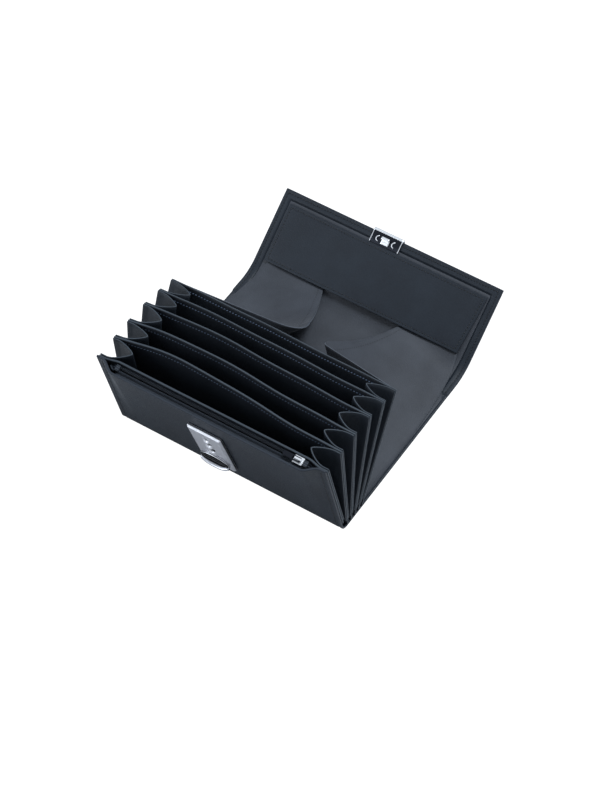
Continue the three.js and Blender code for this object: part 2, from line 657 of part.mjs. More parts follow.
// The thumb slide: a ribbed shield with an arched top and a lip along its rounded lower edge.
function thumbSlide() {
  const w = THUMB_WIDTH / 2;
  const shape = new THREE.Shape();
  const rise = THUMB_HEIGHT * 0.4;
  shape.moveTo(-w, rise);
  shape.quadraticCurveTo(-w * 0.85, 0, 0, 0);
  shape.quadraticCurveTo(w * 0.85, 0, w, rise);
  shape.quadraticCurveTo(w * 0.75, THUMB_HEIGHT, 0, THUMB_HEIGHT);
  shape.quadraticCurveTo(-w * 0.75, THUMB_HEIGHT, -w, rise);
  const lip = new THREE.Shape();
  lip.moveTo(-w, rise);
  lip.quadraticCurveTo(-w * 0.85, 0, 0, 0);
  lip.quadraticCurveTo(w * 0.85, 0, w, rise);
  lip.quadraticCurveTo(w * 0.8, 1.8, 0, 1.8);
  lip.quadraticCurveTo(-w * 0.8, 1.8, -w, rise);
  const ribs = RIB_PLACES.map((up) => {
    const length = THUMB_WIDTH - 1.1 * up;
    return box(length, 1, 2 * RIB_HEIGHT, 0, up, THUMB_THICKNESS);
  });
  const sunk = 0.4; // the shank reaches this far into the shield
  const shankLength = LOCK_WALL + 2 * RUNNING_GAP;
  const shankMiddle = (sunk - shankLength) / 2;
  const shank = box(SHANK_WIDTH, SHANK_HEIGHT, shankLength + sunk, 0, THUMB_HEIGHT / 2, shankMiddle);
  const shield = extrude(shape, THUMB_THICKNESS);
  const edge = extrude(lip, THUMB_THICKNESS + THUMB_LIP);
  return join(shield, edge, shank, ...ribs).translate(0, THUMB_BOTTOM, LOCK_THICKNESS + RUNNING_GAP);
}

const keeperDepth = 0.8;
const keeperHeight = SHANK_HEIGHT + 3;
const keeperMiddle = THUMB_BOTTOM + THUMB_HEIGHT / 2;

// The keeper holds the slide from inside the lock plate.
function slideKeeper() {
  const top = LOCK_THICKNESS - LOCK_WALL - RUNNING_GAP - 0.05;
  return box(SHANK_WIDTH + 4, keeperHeight, keeperDepth, 0, keeperMiddle, top - keeperDepth / 2);
}

// A wire folded to and fro, which pushes the slide back up.
function slideSpring() {
  const low = 2 + SEAT + SPRING_WIRE / 2;
  const high = keeperMiddle - keeperHeight / 2 - SEAT - SPRING_WIRE / 2;
  const bends = [];
  for (let turn = 0; turn <= SPRING_TURNS; turn++) {
    const y = THREE.MathUtils.lerp(low, high, turn / SPRING_TURNS);
    const side = turn % 2 ? 1 : -1;
    bends.push(point(side * SPRING_REACH, y, SEAT + SPRING_WIRE));
  }
  const path = new THREE.CatmullRomCurve3(bends, false, "catmullrom", 0.35);
  const section = new THREE.Shape().absarc(0, 0, SPRING_WIRE / 2, 0, 2 * Math.PI, false);
  const outline = new THREE.Shape(outlinePoints(section, 3));
  return new THREE.ExtrudeGeometry(outline, { extrudePath: path, steps: 6 * SPRING_TURNS });
}

// The clip's frame has its Y towards the flap's tip, which is at y = 0, and its Z out of the inner face.
const tipUp = onCover(0, flapEnd, 0).sub(onCover(0, flapEnd - 1, 0));
const clip = frameOn(onCover(LOCK_X, flapEnd, 0), tipUp);
const clipInner = coverTop + SEAT;
const clipOuter = COVER_THICKNESS / 2 + SEAT;

// A bright metal strip folded over the flap's edge, with two bent claws on its inner face.
function flapClip() {
  const t = CLIP_THICKNESS;
  const profile = [
    [-CLIP_DEPTH, clipInner],
    [SEAT, clipInner],
    [SEAT, -clipOuter],
    [-CLIP_DEPTH, -clipOuter],
    [-CLIP_DEPTH, -clipOuter - t],
    [SEAT + t, -clipOuter - t],
    [SEAT + t, clipInner + t],
    [-CLIP_DEPTH, clipInner + t],
  ];
  const strip = alongX(profile, CLIP_WIDTH);
  const claw = (side) => {
    const shape = new THREE.Shape();
    shape.absarc(0, 0, CLAW_RADIUS, Math.PI / 2, (3 * Math.PI) / 2, false);
    shape.absarc(0, 0, CLAW_RADIUS - CLAW_WIRE, (3 * Math.PI) / 2, Math.PI / 2, true);
    return extrude(shape, 1 + t).translate(side * CLAW_OFFSET - 1, -CLIP_DEPTH / 2, clipInner);
  };
  return join(strip, claw(-1), claw(1));
}

// The catch that drops into the lock's louvres: a bent tongue riveted to the middle of the clip.
function catchHook() {
  const low = clipInner + CLIP_THICKNESS + SEAT;
  const t = HOOK_THICKNESS;
  const profile = [
    [-7, low],
    [-2, low],
    [-0.8, low + HOOK_HEIGHT],
    [-3.4, low + HOOK_HEIGHT],
    [-3.4, low + HOOK_HEIGHT - t],
    [-1.9, low + HOOK_HEIGHT - t],
    [-2.6, low + t],
    [-7, low + t],
  ];
  return alongX(profile, HOOK_WIDTH);
}

add(wallet, "cover_back", coverBack(), leather);
add(wallet, "cover_flap", coverFlap(), leather);
add(wallet, "back_lining", backLining(), lining);
add(wallet, "flap_lining", flapLining(), lining);
add(wallet, "flap_pocket", flapPocket(), leather);
for (let index = 0; index < 4; index++) {
  add(wallet, "divider_" + (index + 1), panel(index), leather);
}
add(wallet, "rear_panel", panel(4), leather);
add(wallet, "zip_pocket_wall", pocketWall(), leather);
for (const [side, name] of [[-1, "left"], [1, "right"]]) {
  for (let index = 0; index < PANEL_LEANS.length; index++) {
    add(wallet, "gusset_" + name + "_" + (index + 1), gusset(index, side), leather);
  }
  add(wallet, "coin_gusset_" + name, coinGusset(side, EAR_ROUNDS[name]), leather);
}

add(zip, "zip_tape_front", zipTape(true), tape);
add(zip, "zip_tape_rear", zipTape(false), tape);
add(zip, "zip_coil_front", zipCoil(1), tape);
add(zip, "zip_coil_rear", zipCoil(-1), tape);
add(zip, "zip_slider", zipSlider(), steel);
add(zip, "zip_pull", zipPull(), darkSteel);
add(zip, "zip_stop_left", zipStop(-1), steel);
add(zip, "zip_stop_right", zipStop(1), steel);
wallet.add(zip);

add(lock, "lock_plate", lockPlate(), steel);
add(lock, "lock_backing_plate", lockBacking(), steel);
add(lock, "thumb_slide", thumbSlide(), darkSteel);
add(lock, "slide_keeper", slideKeeper(), steel);
add(lock, "slide_spring", slideSpring(), steel);
rivetPlaces.forEach((place, index) => add(lock, "lock_rivet_" + (index + 1), lockRivet(place), steel));
wallet.add(lock);

add(clip, "flap_clip", flapClip(), steel);
add(clip, "catch_hook", catchHook(), steel);
wallet.add(clip);

// The origin is in the middle of the flat underside.
wallet.position.y = -BACK_LENGTH / 2;

export default wallet;
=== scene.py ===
"""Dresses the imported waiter's wallet: leather with cut edges and sewing, zip, lock, clip and stage."""
import math

import bpy
import numpy as np
from mathutils import Matrix, Vector


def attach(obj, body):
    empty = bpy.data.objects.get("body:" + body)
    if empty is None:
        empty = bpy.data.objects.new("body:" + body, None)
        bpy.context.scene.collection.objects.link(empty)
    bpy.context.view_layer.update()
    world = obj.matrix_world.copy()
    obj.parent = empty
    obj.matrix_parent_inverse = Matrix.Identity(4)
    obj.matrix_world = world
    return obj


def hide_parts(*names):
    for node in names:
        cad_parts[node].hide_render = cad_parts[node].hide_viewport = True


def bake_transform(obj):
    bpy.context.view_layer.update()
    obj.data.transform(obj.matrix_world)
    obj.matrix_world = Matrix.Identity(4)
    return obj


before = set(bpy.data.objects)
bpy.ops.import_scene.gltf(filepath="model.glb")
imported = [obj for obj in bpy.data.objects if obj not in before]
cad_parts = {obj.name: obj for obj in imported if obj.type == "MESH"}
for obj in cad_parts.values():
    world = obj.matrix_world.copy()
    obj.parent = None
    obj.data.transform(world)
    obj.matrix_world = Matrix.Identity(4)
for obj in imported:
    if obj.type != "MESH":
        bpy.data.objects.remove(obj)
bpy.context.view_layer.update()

bl_info = {
    "name": "Waiter wallet",
    "version": (1, 0, 0),
    "blender": (4, 5, 0),
    "location": "3D View > Sidebar > Wallet",
    "description": "Makes the leather, sewing, zip and metal fittings of a waiter's wallet",
    "category": "Add Mesh",
}

MM = 0.001

# Sizes in millimetres, the same as in the part's source
HALF = 90.0  # half its LENGTH
COVER_THICKNESS = 1.6
SPINE_MID = 7.2  # its SPINE_RADIUS, taken at the middle of the leather
FRONT_HEIGHT = 91.0
FRONT_LEAN = math.radians(15.5)
FRONT_BULGE = 6.5
BACK_LENGTH = 144.0
FLAP_BEND_RADIUS = 32.0
FLAP_ANGLE = math.radians(39.5)
FLAP_LENGTH = 54.5
HEM_WIDTH = 6.0
HEM_THICKNESS = 1.0
LINING_THICKNESS = 0.8
SEAT = 0.3
PANEL_THICKNESS = 1.6
PANEL_HEIGHT = 92.0
PANEL_LEANS = np.radians([-7.2, 0.4, 9.4, 17.8, 25.3])
PANEL_BOWS = [7, 5.5, 4.5, 3, 1.5]
FIRST_FOOT = 0.5
FOOT_PITCH = 4.6
GUSSET_THICKNESS = 0.9
GUSSET_SEAM = 4.0
GUSSET_LEG = 20.0
GUSSET_FOOT = 5.0
WALL_HEIGHT = 88.0
WALL_FOOT = 3.0
WALL_STANDOFF = 10.5
PLATEAU = 74.0
ZIP_HEIGHT = 86.0
COIL_HEIGHT = 1.4
TAPE_THICKNESS = 0.6
CHAIN_GAP = 1.2
EAR_THICKNESS = 1.0
EAR_INSET = 1.5
EAR_APEX = np.array([7, 98.6, 40])
EAR_ROUNDS = {"left": 0.26, "right": 0.08}
EAR_MOUTH = 32.0
EAR_FOOT = 5.0
EAR_SAG = 6.0
EAR_UPRIGHT = 0.4
EAR_POINT = (0.34, 0.46)
POCKET_START = 0.8
POCKET_WIDTH = 44.6
POCKET_INSET = 7.5
POCKET_THICKNESS = 1.2
POCKET_LIFT = 2.2
LOCK_X = -4.0
LOCK_WIDTH = 26.0
LOCK_HEIGHT = 56.0
LOCK_BOTTOM = 14.0
LOCK_THICKNESS = 3.0
LOUVRES = [(46, 1.9), (37, 2.5), (27.5, 3.2)]
THUMB_WIDTH = 20.0
THUMB_HEIGHT = 15.0
THUMB_BOTTOM = 5.0
CLIP_WIDTH = 24.0
CLIP_DEPTH = 8.7
CLIP_THICKNESS = 0.8
CLAW_OFFSET = 6.5

# Sizes in millimetres that only this script has
HEM_START = 133.0  # from the spine's bend to where the edge is turned over
PANEL_RIPPLE = 0.35
STITCH_SHARE = 0.74  # of the pitch; the rest is the gap to the next stitch
POCKET_DRAW = 3.2  # how far the slip pocket's right side comes in at its lip
POCKET_CURL = 0.9  # how far that corner stands up
RIM_BULGE = 0.35  # share of half the thickness that a cut edge stands out
GUSSET_BEND = 1.3  # from a gusset's fold to the control point beside it
COIL_END = 72.5  # from the middle of the zip
TAPE_END = 74.5  # the same
TAPE_LOOSE = 6.5  # the cloth ends run this far past the plateau
COIL_PITCH = 1.25
COIL_WIRE = 0.26
COIL_MIDDLE = 0.75  # from the gap between the two rows to the middle of a row
COIL_LOOP = (0.62, 0.5)  # half the width and half the height of one turn
TAPE_RIB = 1.1
TAPE_CRUMPLE = 0.55
SCOOP_RISE = 1.1  # the lip over each louvre
PIT_DEPTH = 1.9
THUMB_FLARE = 1.2  # the slide is this much wider at each side than its solid
THUMB_DIP = 3.6  # how far the slide's lower corners rise
THUMB_CROWN = 6.5  # and how far its upper corners drop
THUMB_ARCH = 2.6  # the power that both follow across the slide
THUMB_RIBS = 4.2  # sine waves up the slide
THUMB_RIB_RISE = 0.28
CLAW_REACH = 2.1
CLAW_RISE = 0.75
CLAW_SWEEP = 1.9  # how far the middle of a claw bends to the left
CLAW_WIRE = 0.5
BAR_RADIUS = 1.5

# Turns in radians, distances along the cover and heights above its middle line, worked out from those
SPINE_TURN = math.pi / 2 - FRONT_LEAN
BEND_END = BACK_LENGTH + FLAP_BEND_RADIUS * FLAP_ANGLE
FLAP_END = BEND_END + FLAP_LENGTH
FRONT_END = -(SPINE_MID * SPINE_TURN + FRONT_HEIGHT)
LINING_HEIGHT = COVER_THICKNESS / 2 + SEAT / 2 + LINING_THICKNESS / 2
COVER_TOP = COVER_THICKNESS / 2 + HEM_THICKNESS

# The photograph's camera: angles in degrees, distances in millimetres, places in its 600 by 800 pixels
VIEW_AZIMUTH = 31.65
VIEW_ELEVATION = 51.22
VIEW_ROLL = 1.02
VIEW_DISTANCE = 2000.0
VIEW_FOCAL_PIXELS = 2908.0
VIEW_TARGET = (0.0, -18.4, 40.0)
VIEW_TARGET_PIXEL = (278.7, 380.6)
IMAGE_PIXELS = (600, 800)
SENSOR_MM = 36.0


class LeatherSettings(bpy.types.PropertyGroup):
    """The leather's grain."""
    grain: bpy.props.FloatProperty(
        name="Grain", description="Width of one pebble of the leather's grain, in millimetres",
        default=0.55, min=0.1, max=4)
    grain_depth: bpy.props.FloatProperty(
        name="Grain depth", description="Strength of the grain's relief", default=0.5, min=0, max=1)


class SewingSettings(bpy.types.PropertyGroup):
    """The sewing thread."""
    pitch: bpy.props.FloatProperty(
        name="Stitch pitch", description="From one stitch to the next, in millimetres",
        default=2.3, min=1, max=6)
    thread: bpy.props.FloatProperty(
        name="Thread", description="Thickness of the thread, in millimetres", default=0.5, min=0.2, max=2)
    inset: bpy.props.FloatProperty(
        name="Inset", description="From a cut edge to its row of stitches, in millimetres",
        default=2.2, min=1, max=8)


class StageSettings(bpy.types.PropertyGroup):
    """Light and floor."""
    key_watts: bpy.props.FloatProperty(
        name="Key light", description="Power of the soft light above and behind", default=8.8,
        min=0, unit="POWER")
    fill_watts: bpy.props.FloatProperty(
        name="Fill light", description="Power of the soft light at the front left", default=5.8,
        min=0, unit="POWER")
    world_level: bpy.props.FloatProperty(
        name="Surroundings", description="Brightness of the surroundings", default=0.27, min=0, max=2)


def unit(vectors):
    """Vectors divided by their own length."""
    return vectors / np.maximum(np.linalg.norm(vectors, axis=-1, keepdims=True), 1e-12)


def smooth(x, low, high):
    """0 below low, 1 above high, and 3t^2 - 2t^3 between."""
    t = np.clip((x - low) / (high - low), 0, 1)
    return t * t * (3 - 2 * t)


def lerp(a, b, t):
    """The value at share t of the way from a to b."""
    return a + (b - a) * t


def stack(x, y, z):
    """Points from their three coordinates, in the row frame, whose origin is in the middle of the back."""
    x, y, z = np.broadcast_arrays(x, y, z)
    return np.stack([x, y - BACK_LENGTH / 2, z], -1).astype(float)


def plateau(x):
    """1 along the middle of the length and 0 at the side seams."""
    return 1 - smooth(np.abs(x), PLATEAU, HALF - GUSSET_SEAM)


def bow(x):
    """A divider's curve along its length: the square of a sine, deepest left of the middle."""
    share = np.clip((x + HALF) / (2 * HALF), 0, 1)
    return np.sin(math.pi * share ** 0.6) ** 2


def cover_at(s):
    """The cover's middle line from the side, at distance s from the spine's bend: flat on the table, then an
    arc and a straight stretch at each end. Returns y, z and the line's heading."""
    s = np.asarray(s, float)
    behind = s >= 0
    flat = np.where(behind, np.minimum(s, BACK_LENGTH), 0)
    radius = np.where(behind, FLAP_BEND_RADIUS, SPINE_MID)
    turn = np.where(behind, FLAP_ANGLE, SPINE_TURN)
    beyond = np.abs(s) - flat
    bend = np.minimum(beyond / radius, turn)
    straight = np.maximum(0, beyond - radius * turn)
    along = flat + radius * np.sin(bend) + straight * np.cos(bend)
    up = radius * (1 - np.cos(bend)) + straight * np.sin(bend)
    return np.where(behind, along, -along), COVER_THICKNESS / 2 + up, np.where(behind, bend, -bend)


def on_cover(x, s, height, bulges=True):
    """A point at a height above the cover's middle line, on its inner side, less the front panel's bulge,
    which grows with the distance up the panel to the power 1.3."""
    y, z, heading = cover_at(s)
    climb = np.maximum(0, -np.asarray(s, float) - SPINE_MID * SPINE_TURN) / FRONT_HEIGHT
    out = height - (FRONT_BULGE * plateau(x) * climb ** 1.3 if bulges else 0)
    return stack(x, y - np.sin(heading) * out, z + np.cos(heading) * out)


def front_distance(height):
    """The distance s of a height up the front panel."""
    return -(SPINE_MID * SPINE_TURN + height)


def on_panel(index, x, height, offset=0.0):
    """A point of a divider: its slope from the foot, plus the bow that grows with the height to the power 1.5
    and a faint ripple, a sine of x, that grows with its cube."""
    lean = PANEL_LEANS[index]
    share = np.clip(height / PANEL_HEIGHT, 0, 2)
    ripple = PANEL_RIPPLE * np.sin(x / 11.0 + 2.1 * index) * share ** 3 * smooth(HALF - np.abs(x), 4, 25)
    out = offset + PANEL_BOWS[index] * bow(x) * share ** 1.5 + ripple
    foot_y = FIRST_FOOT + index * FOOT_PITCH
    foot_z = COVER_THICKNESS + SEAT + (PANEL_THICKNESS / 2) * math.sin(abs(lean))
    y = foot_y + math.sin(lean) * height + math.cos(lean) * out
    z = foot_z + math.cos(lean) * height - math.sin(lean) * out
    return stack(x, y, z)


def on_wall(x, height, offset=0.0):
    """A point of the zip pocket's wall: it stands off the front panel by its share of the height to the
    power 0.8."""
    climb = np.maximum(0, height) / FRONT_HEIGHT
    stand = (COVER_THICKNESS + PANEL_THICKNESS) / 2 + SEAT
    free = (WALL_STANDOFF - stand) * plateau(x) * climb ** 0.8
    return on_cover(x, front_distance(height), stand + free + offset)


def spaced(stops, steps):
    """Values from stop to stop, each stretch cut into its own number of equal steps."""
    parts = [np.linspace(a, b, n, endpoint=False) for a, b, n in zip(stops, stops[1:], steps)]
    return np.concatenate([*parts, [stops[-1]]])


def grid(first, second):
    """Every pair of two rows of values, as two arrays."""
    return np.meshgrid(first, second, indexing="ij")


def slopes(points):
    """A grid's two slopes and its unit normal, their cross product."""
    du, dv = np.gradient(points, axis=0), np.gradient(points, axis=1)
    return du, dv, unit(np.cross(du, dv))


def leather_sheet(points, thickness, inner=0.0, outer=0.0, rings=5):
    """A closed sheet round a grid of points: half the thickness to each side along the grid's normal, plus
    a relief on each face, with a rounded rim of rings round its edge, each at its own angle of a flattened
    half circle. Returns points, faces and the rim's mask."""
    nu, nv = points.shape[:2]
    du, dv, normal = slopes(points)
    top = points + normal * (np.broadcast_to(thickness / 2 + inner, (nu, nv))[..., None])
    low = points - normal * (np.broadcast_to(thickness / 2 + outer, (nu, nv))[..., None])
    index = np.arange(nu * nv).reshape(nu, nv)
    loop = np.concatenate([index[:, 0], index[-1, 1:], index[-2::-1, -1], index[0, -2:0:-1]])
    i, j = np.unravel_index(loop, (nu, nv))
    u_loop, v_loop = unit(du[i, j]), unit(dv[i, j])
    out = (np.where((j == 0)[:, None], -v_loop, 0) + np.where((j == nv - 1)[:, None], v_loop, 0)
           + np.where((i == 0)[:, None], -u_loop, 0) + np.where((i == nu - 1)[:, None], u_loop, 0))
    n_loop = normal[i, j]
    out = unit(out - n_loop * np.sum(out * n_loop, -1, keepdims=True))
    t_loop, b_loop = top[i, j], low[i, j]
    middle, reach = (t_loop + b_loop) / 2, (t_loop - b_loop) / 2
    half = np.linalg.norm(reach, axis=-1, keepdims=True)
    angle = (math.pi * np.arange(1, rings) / rings)[:, None, None]
    rim = (middle + reach * np.sign(np.cos(angle)) * np.abs(np.cos(angle)) ** 0.8
           + out * half * RIM_BULGE * np.sin(angle) ** 0.7)
    verts = np.concatenate([top.reshape(-1, 3), low.reshape(-1, 3), rim.reshape(-1, 3)])
    quads = np.stack([index[:-1, :-1], index[1:, :-1], index[1:, 1:], index[:-1, 1:]], -1).reshape(-1, 4)
    n = nu * nv
    rows = np.vstack([loop, 2 * n + np.arange((rings - 1) * len(loop)).reshape(rings - 1, -1), loop + n])
    after = np.roll(rows, -1, axis=1)
    sides = np.stack([rows[:-1], rows[1:], after[1:], after[:-1]], -1).reshape(-1, 4)
    faces = np.concatenate([quads, quads[:, ::-1] + n, sides])
    mask = np.zeros(len(verts))
    mask[2 * n:] = np.repeat(np.sin(angle.ravel()) ** 8, len(loop))
    return verts, faces.tolist(), mask


def tube(path, radius, sides=8, up=(0, 0, 1)):
    """A round bar along a path of points: a circle across the path at each, closed by a point at each end."""
    tangent = unit(np.gradient(path, axis=0))
    side = unit(np.cross(tangent, np.asarray(up, float)))
    lift = np.cross(side, tangent)
    angle = 2 * math.pi * np.arange(sides) / sides
    ring = (path[:, None] + radius * np.cos(angle)[None, :, None] * side[:, None]
            + radius * np.sin(angle)[None, :, None] * lift[:, None])
    count = len(path)
    nose = tangent * radius * 0.4
    verts = np.concatenate([ring.reshape(-1, 3), path[:1] - nose[:1], path[-1:] + nose[-1:]])
    rows = np.arange(count * sides).reshape(count, sides)
    after = np.roll(rows, -1, axis=1)
    quads = np.stack([rows[:-1], after[:-1], after[1:], rows[1:]], -1).reshape(-1, 4)
    first, last = count * sides, count * sides + 1
    caps = [np.stack([after[0], rows[0], np.full(sides, first)], -1),
            np.stack([rows[-1], after[-1], np.full(sides, last)], -1)]
    return verts, [*quads.tolist(), *np.concatenate(caps).tolist()], np.zeros(len(verts))


def joined(parts):
    """Several (points, faces, mask) as one."""
    verts, faces, masks, start = [], [], [], 0
    for v, f, m in parts:
        verts.append(v)
        faces.extend([[k + start for k in q] for q in f])
        masks.append(m)
        start += len(v)
    return np.concatenate(verts), faces, np.concatenate(masks)


def piece(name, shape, material, body=None, stands_for=()):
    """A mesh object from points in millimetres and faces, smooth shaded, in the finish of that name, with the
    rim's mask as an attribute."""
    verts, faces, mask = shape
    mesh = bpy.data.meshes.new(name)
    mesh.from_pydata((verts * MM).tolist(), [], faces)
    mesh.polygons.foreach_set("use_smooth", np.ones(len(mesh.polygons), bool))
    attribute = mesh.attributes.new("edge", "FLOAT", "POINT")
    attribute.data.foreach_set("value", mask.astype(np.float32))
    mesh.materials.append(materials()[material])
    mesh.update()
    obj = bpy.data.objects.new(name, mesh)
    bpy.context.scene.collection.objects.link(obj)
    if body:
        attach(obj, body)
    if stands_for:
        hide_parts(*stands_for)
    return obj


def across_fold(obj):
    """Called on the pieces that cross the flap's fold: bakes the object's placement into its mesh and returns
    it; the ends of the rounded stretch are worked out but not used.
    """
    start = on_cover(0.0, BACK_LENGTH - 2, 0.0) * MM
    end = on_cover(0.0, BEND_END, 0.0) * MM
    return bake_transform(obj)


def stitches(path, normal, pitch, thread, slant=0.12):
    """Stitches along a path: each is a short spindle whose thickness follows the root of a half sine along
    its length, whose ends sink into the leather, and which is turned a little from the seam's own line."""
    step = np.linalg.norm(np.diff(path, axis=0), axis=1)
    run = np.concatenate([[0], np.cumsum(step)])
    count = max(2, int(run[-1] / pitch))
    at = (np.arange(count) + 0.5) * run[-1] / count

    def along_path(values, where):
        """Values of the path's points at distances along it, by straight lines between them."""
        return np.stack([np.interp(where, run, values[:, k]) for k in range(3)], -1)

    centre = along_path(path, at)
    n = unit(along_path(normal, at))
    t = unit(along_path(path, at + 0.3) - along_path(path, at - 0.3))
    side = np.cross(n, t)
    t = unit(t + side * slant)
    side = np.cross(n, t)
    length = run[-1] / count * STITCH_SHARE
    place = np.array([0, 0.22, 0.5, 0.78, 1.0])
    sides, corners = 6, 6 * len(place)
    thick = np.sqrt(np.sin(math.pi * np.clip(place, 0.04, 0.96)))
    angle = 2 * math.pi * np.arange(sides) / sides
    along = np.repeat((place - 0.5) * length, sides)
    round_a = (thick[:, None] * np.cos(angle)).ravel() * thread / 2
    round_b = (thick[:, None] * np.sin(angle)).ravel() * thread / 2
    sink = -0.9 * thread / 2 * (2 * np.repeat(place, sides) - 1) ** 2
    verts = (centre[:, None] + t[:, None] * along[None, :, None] + side[:, None] * round_a[None, :, None]
             + n[:, None] * (round_b + sink + thread * 0.12)[None, :, None])
    rows = np.arange(corners).reshape(-1, sides)
    after = np.roll(rows, -1, axis=1)
    quads = np.stack([rows[:-1], after[:-1], after[1:], rows[1:]], -1).reshape(-1, 4)
    one = [*quads.tolist(), rows[0][::-1].tolist(), rows[-1].tolist()]
    faces = [[k + corners * m for k in q] for m in range(count) for q in one]
    return verts.reshape(-1, 3), faces, np.zeros(corners * count)


def srgb(code):
    """A hex colour as linear values."""
    value = np.array([int(code[k:k + 2], 16) for k in (0, 2, 4)]) / 255
    linear = np.where(value <= 0.04045, value / 12.92, ((value + 0.055) / 1.055) ** 2.4)
    return (*linear.tolist(), 1.0)


def node(tree, kind, settings=None, links=None):
    """Adds a node, sets its properties and sockets, and links its inputs from (node, output) pairs."""
    made = tree.nodes.new("ShaderNode" + kind)
    for key, value in (settings or {}).items():
        if isinstance(key, str) and hasattr(made, key):
            setattr(made, key, value)
        else:
            made.inputs[key].default_value = value
    for key, (source, output) in (links or {}).items():
        tree.links.new(source.outputs[output], made.inputs[key])
    return made


def new_material(name):
    """An empty material and its node tree."""
    material = bpy.data.materials.new(name)
    material.use_nodes = True
    material.node_tree.nodes.clear()
    return material, material.node_tree


def leather(name, low, high, rough, grain, depth, edge, sheen=0.0, specular=0.5):
    """Drum-dyed, pigmented cowhide: a fine pebbled grain from rounded cells, broken by a slower noise that
    makes the dye a little uneven, with a semi-matte finish. The cut rim shows the paler dyed edge."""
    material, tree = new_material(name)
    at = {"Vector": (node(tree, "TexCoord"), "Object")}
    cells = node(tree, "TexVoronoi",
                 {"feature": "SMOOTH_F1", "Scale": 1 / (grain * MM), "Smoothness": 0.6}, at)
    fine = node(tree, "TexNoise",
                {"Scale": 1 / (grain * 1.7 * MM), "Detail": 5.0, "Roughness": 0.6}, at)
    slow = node(tree, "TexNoise", {"Scale": 1 / (28 * MM), "Detail": 3.0, "Roughness": 0.55}, at)
    both = node(tree, "Math", {"operation": "MULTIPLY_ADD", 1: 0.6},
                {0: (cells, "Distance"), 2: (fine, "Fac")})
    tone = node(tree, "Math", {"operation": "MULTIPLY_ADD", 1: 0.7},
                {0: (fine, "Fac"), 2: (slow, "Fac")})
    ramp = node(tree, "MapRange", {"From Min": 0.55, "From Max": 1.15}, {"Value": (tone, "Value")})
    tint = node(tree, "Mix", {"data_type": "RGBA", 6: srgb(low), 7: srgb(high)},
               {"Factor": (ramp, "Result")})
    rim = node(tree, "Attribute", {"attribute_name": "edge"})
    colour = node(tree, "Mix", {"data_type": "RGBA", 7: srgb(edge)},
                  {"Factor": (rim, "Fac"), 6: (tint, 2)})
    gloss = node(tree, "MapRange",
                 {"From Min": 0.3, "From Max": 0.7, "To Min": rough - 0.06, "To Max": rough + 0.08},
                 {"Value": (fine, "Fac")})
    bump = node(tree, "Bump", {"Strength": depth, "Distance": 0.25 * MM},
                {"Height": (both, "Value")})
    shader = node(tree, "BsdfPrincipled",
                  {"Specular IOR Level": specular, "Sheen Weight": sheen, "Sheen Roughness": 0.4},
                  {"Base Color": (colour, 2), "Roughness": (gloss, "Result"), "Normal": (bump, "Normal")})
    node(tree, "OutputMaterial", links={"Surface": (shader, "BSDF")})
    return material


def thread_material(name, colour):
    """Bonded polyester thread: two plies twisted together, drawn coarser than life so that they show."""
    material, tree = new_material(name)
    at = {"Vector": (node(tree, "TexCoord"), "Object")}
    twist = node(tree, "TexWave",
                 {"Scale": 1 / (2.2 * MM) / 6.28, "Distortion": 1.0, "bands_direction": "DIAGONAL"}, at)
    bump = node(tree, "Bump", {"Strength": 0.4, "Distance": 0.1 * MM}, {"Height": (twist, "Fac")})
    shader = node(tree, "BsdfPrincipled", {"Base Color": srgb(colour), "Roughness": 0.42},
                  {"Normal": (bump, "Normal")})
    node(tree, "OutputMaterial", links={"Surface": (shader, "BSDF")})
    return material


def tape_material(name, colour, rib):
    """Woven polyester tape: ribs along the zip, with threads crossing them, drawn coarser than life. The
    colour darkens to near-black in the grooves between the ribs as painted shade.
    """
    material, tree = new_material(name)
    at = {"Vector": (node(tree, "TexCoord"), "Object")}
    ribs, threads = (
        node(tree, "TexWave",
             {"Scale": 1 / (width * MM) / 6.28, "bands_direction": direction, "Distortion": uneven}, at)
        for width, direction, uneven in ((rib, "Y", 0.4), (rib * 0.8, "X", 0.6)))
    height = node(tree, "Math", {"operation": "MULTIPLY_ADD", 1: 0.5},
                  {0: (threads, "Fac"), 2: (ribs, "Fac")})
    # painted shade: near-black 161b22 in the rib grooves, the tape's own colour on the crests
    tint = node(tree, "Mix", {"data_type": "RGBA", 6: srgb("161b22"), 7: srgb(colour)},
               {"Factor": (ribs, "Fac")})
    bump = node(tree, "Bump", {"Strength": 0.7, "Distance": 0.3 * MM},
                {"Height": (height, "Value")})
    shader = node(tree, "BsdfPrincipled", {"Roughness": 0.7},
                  {"Base Color": (tint, 2), "Normal": (bump, "Normal")})
    node(tree, "OutputMaterial", links={"Surface": (shader, "BSDF")})
    return material


def plated_metal(name, colour, rough, scratch=0.05):
    """Nickel-plated pressed steel, polished: bright, with a faint cool cast and very fine rub marks. The edge
    attribute mixes in near-black as painted shade in pressed slots and as a painted dark reflection on the
    cut sides, standing in for the dark leather that they see."""
    material, tree = new_material(name)
    place = node(tree, "TexCoord")
    rubbed = node(tree, "Mapping", {"Scale": (0.15, 1.0, 1.0)}, {"Vector": (place, "Object")})
    marks = node(tree, "TexNoise", {"Scale": 1 / (0.7 * MM), "Detail": 4.0},
                 {"Vector": (rubbed, "Vector")})
    gloss = node(tree, "MapRange",
                 {"From Min": 0.3, "From Max": 0.7, "To Min": rough, "To Max": rough + 0.08},
                 {"Value": (marks, "Fac")})
    bump = node(tree, "Bump", {"Strength": scratch, "Distance": 0.05 * MM},
                {"Height": (marks, "Fac")})
    # painted shade and painted dark reflection: near-black 0a0b0e is mixed in where the edge attribute is
    # high
    shade = node(tree, "Attribute", {"attribute_name": "edge"})
    plating_and_painted_shade = node(tree, "Mix", {"data_type": "RGBA", 6: srgb(colour), 7: srgb("0a0b0e")},
                   {"Factor": (shade, "Fac")})
    shader = node(tree, "BsdfPrincipled", {"Metallic": 1.0},
                  {"Base Color": (plating_and_painted_shade, 2), "Roughness": (gloss, "Result"), "Normal": (bump, "Normal")})
    node(tree, "OutputMaterial", links={"Surface": (shader, "BSDF")})
    return material


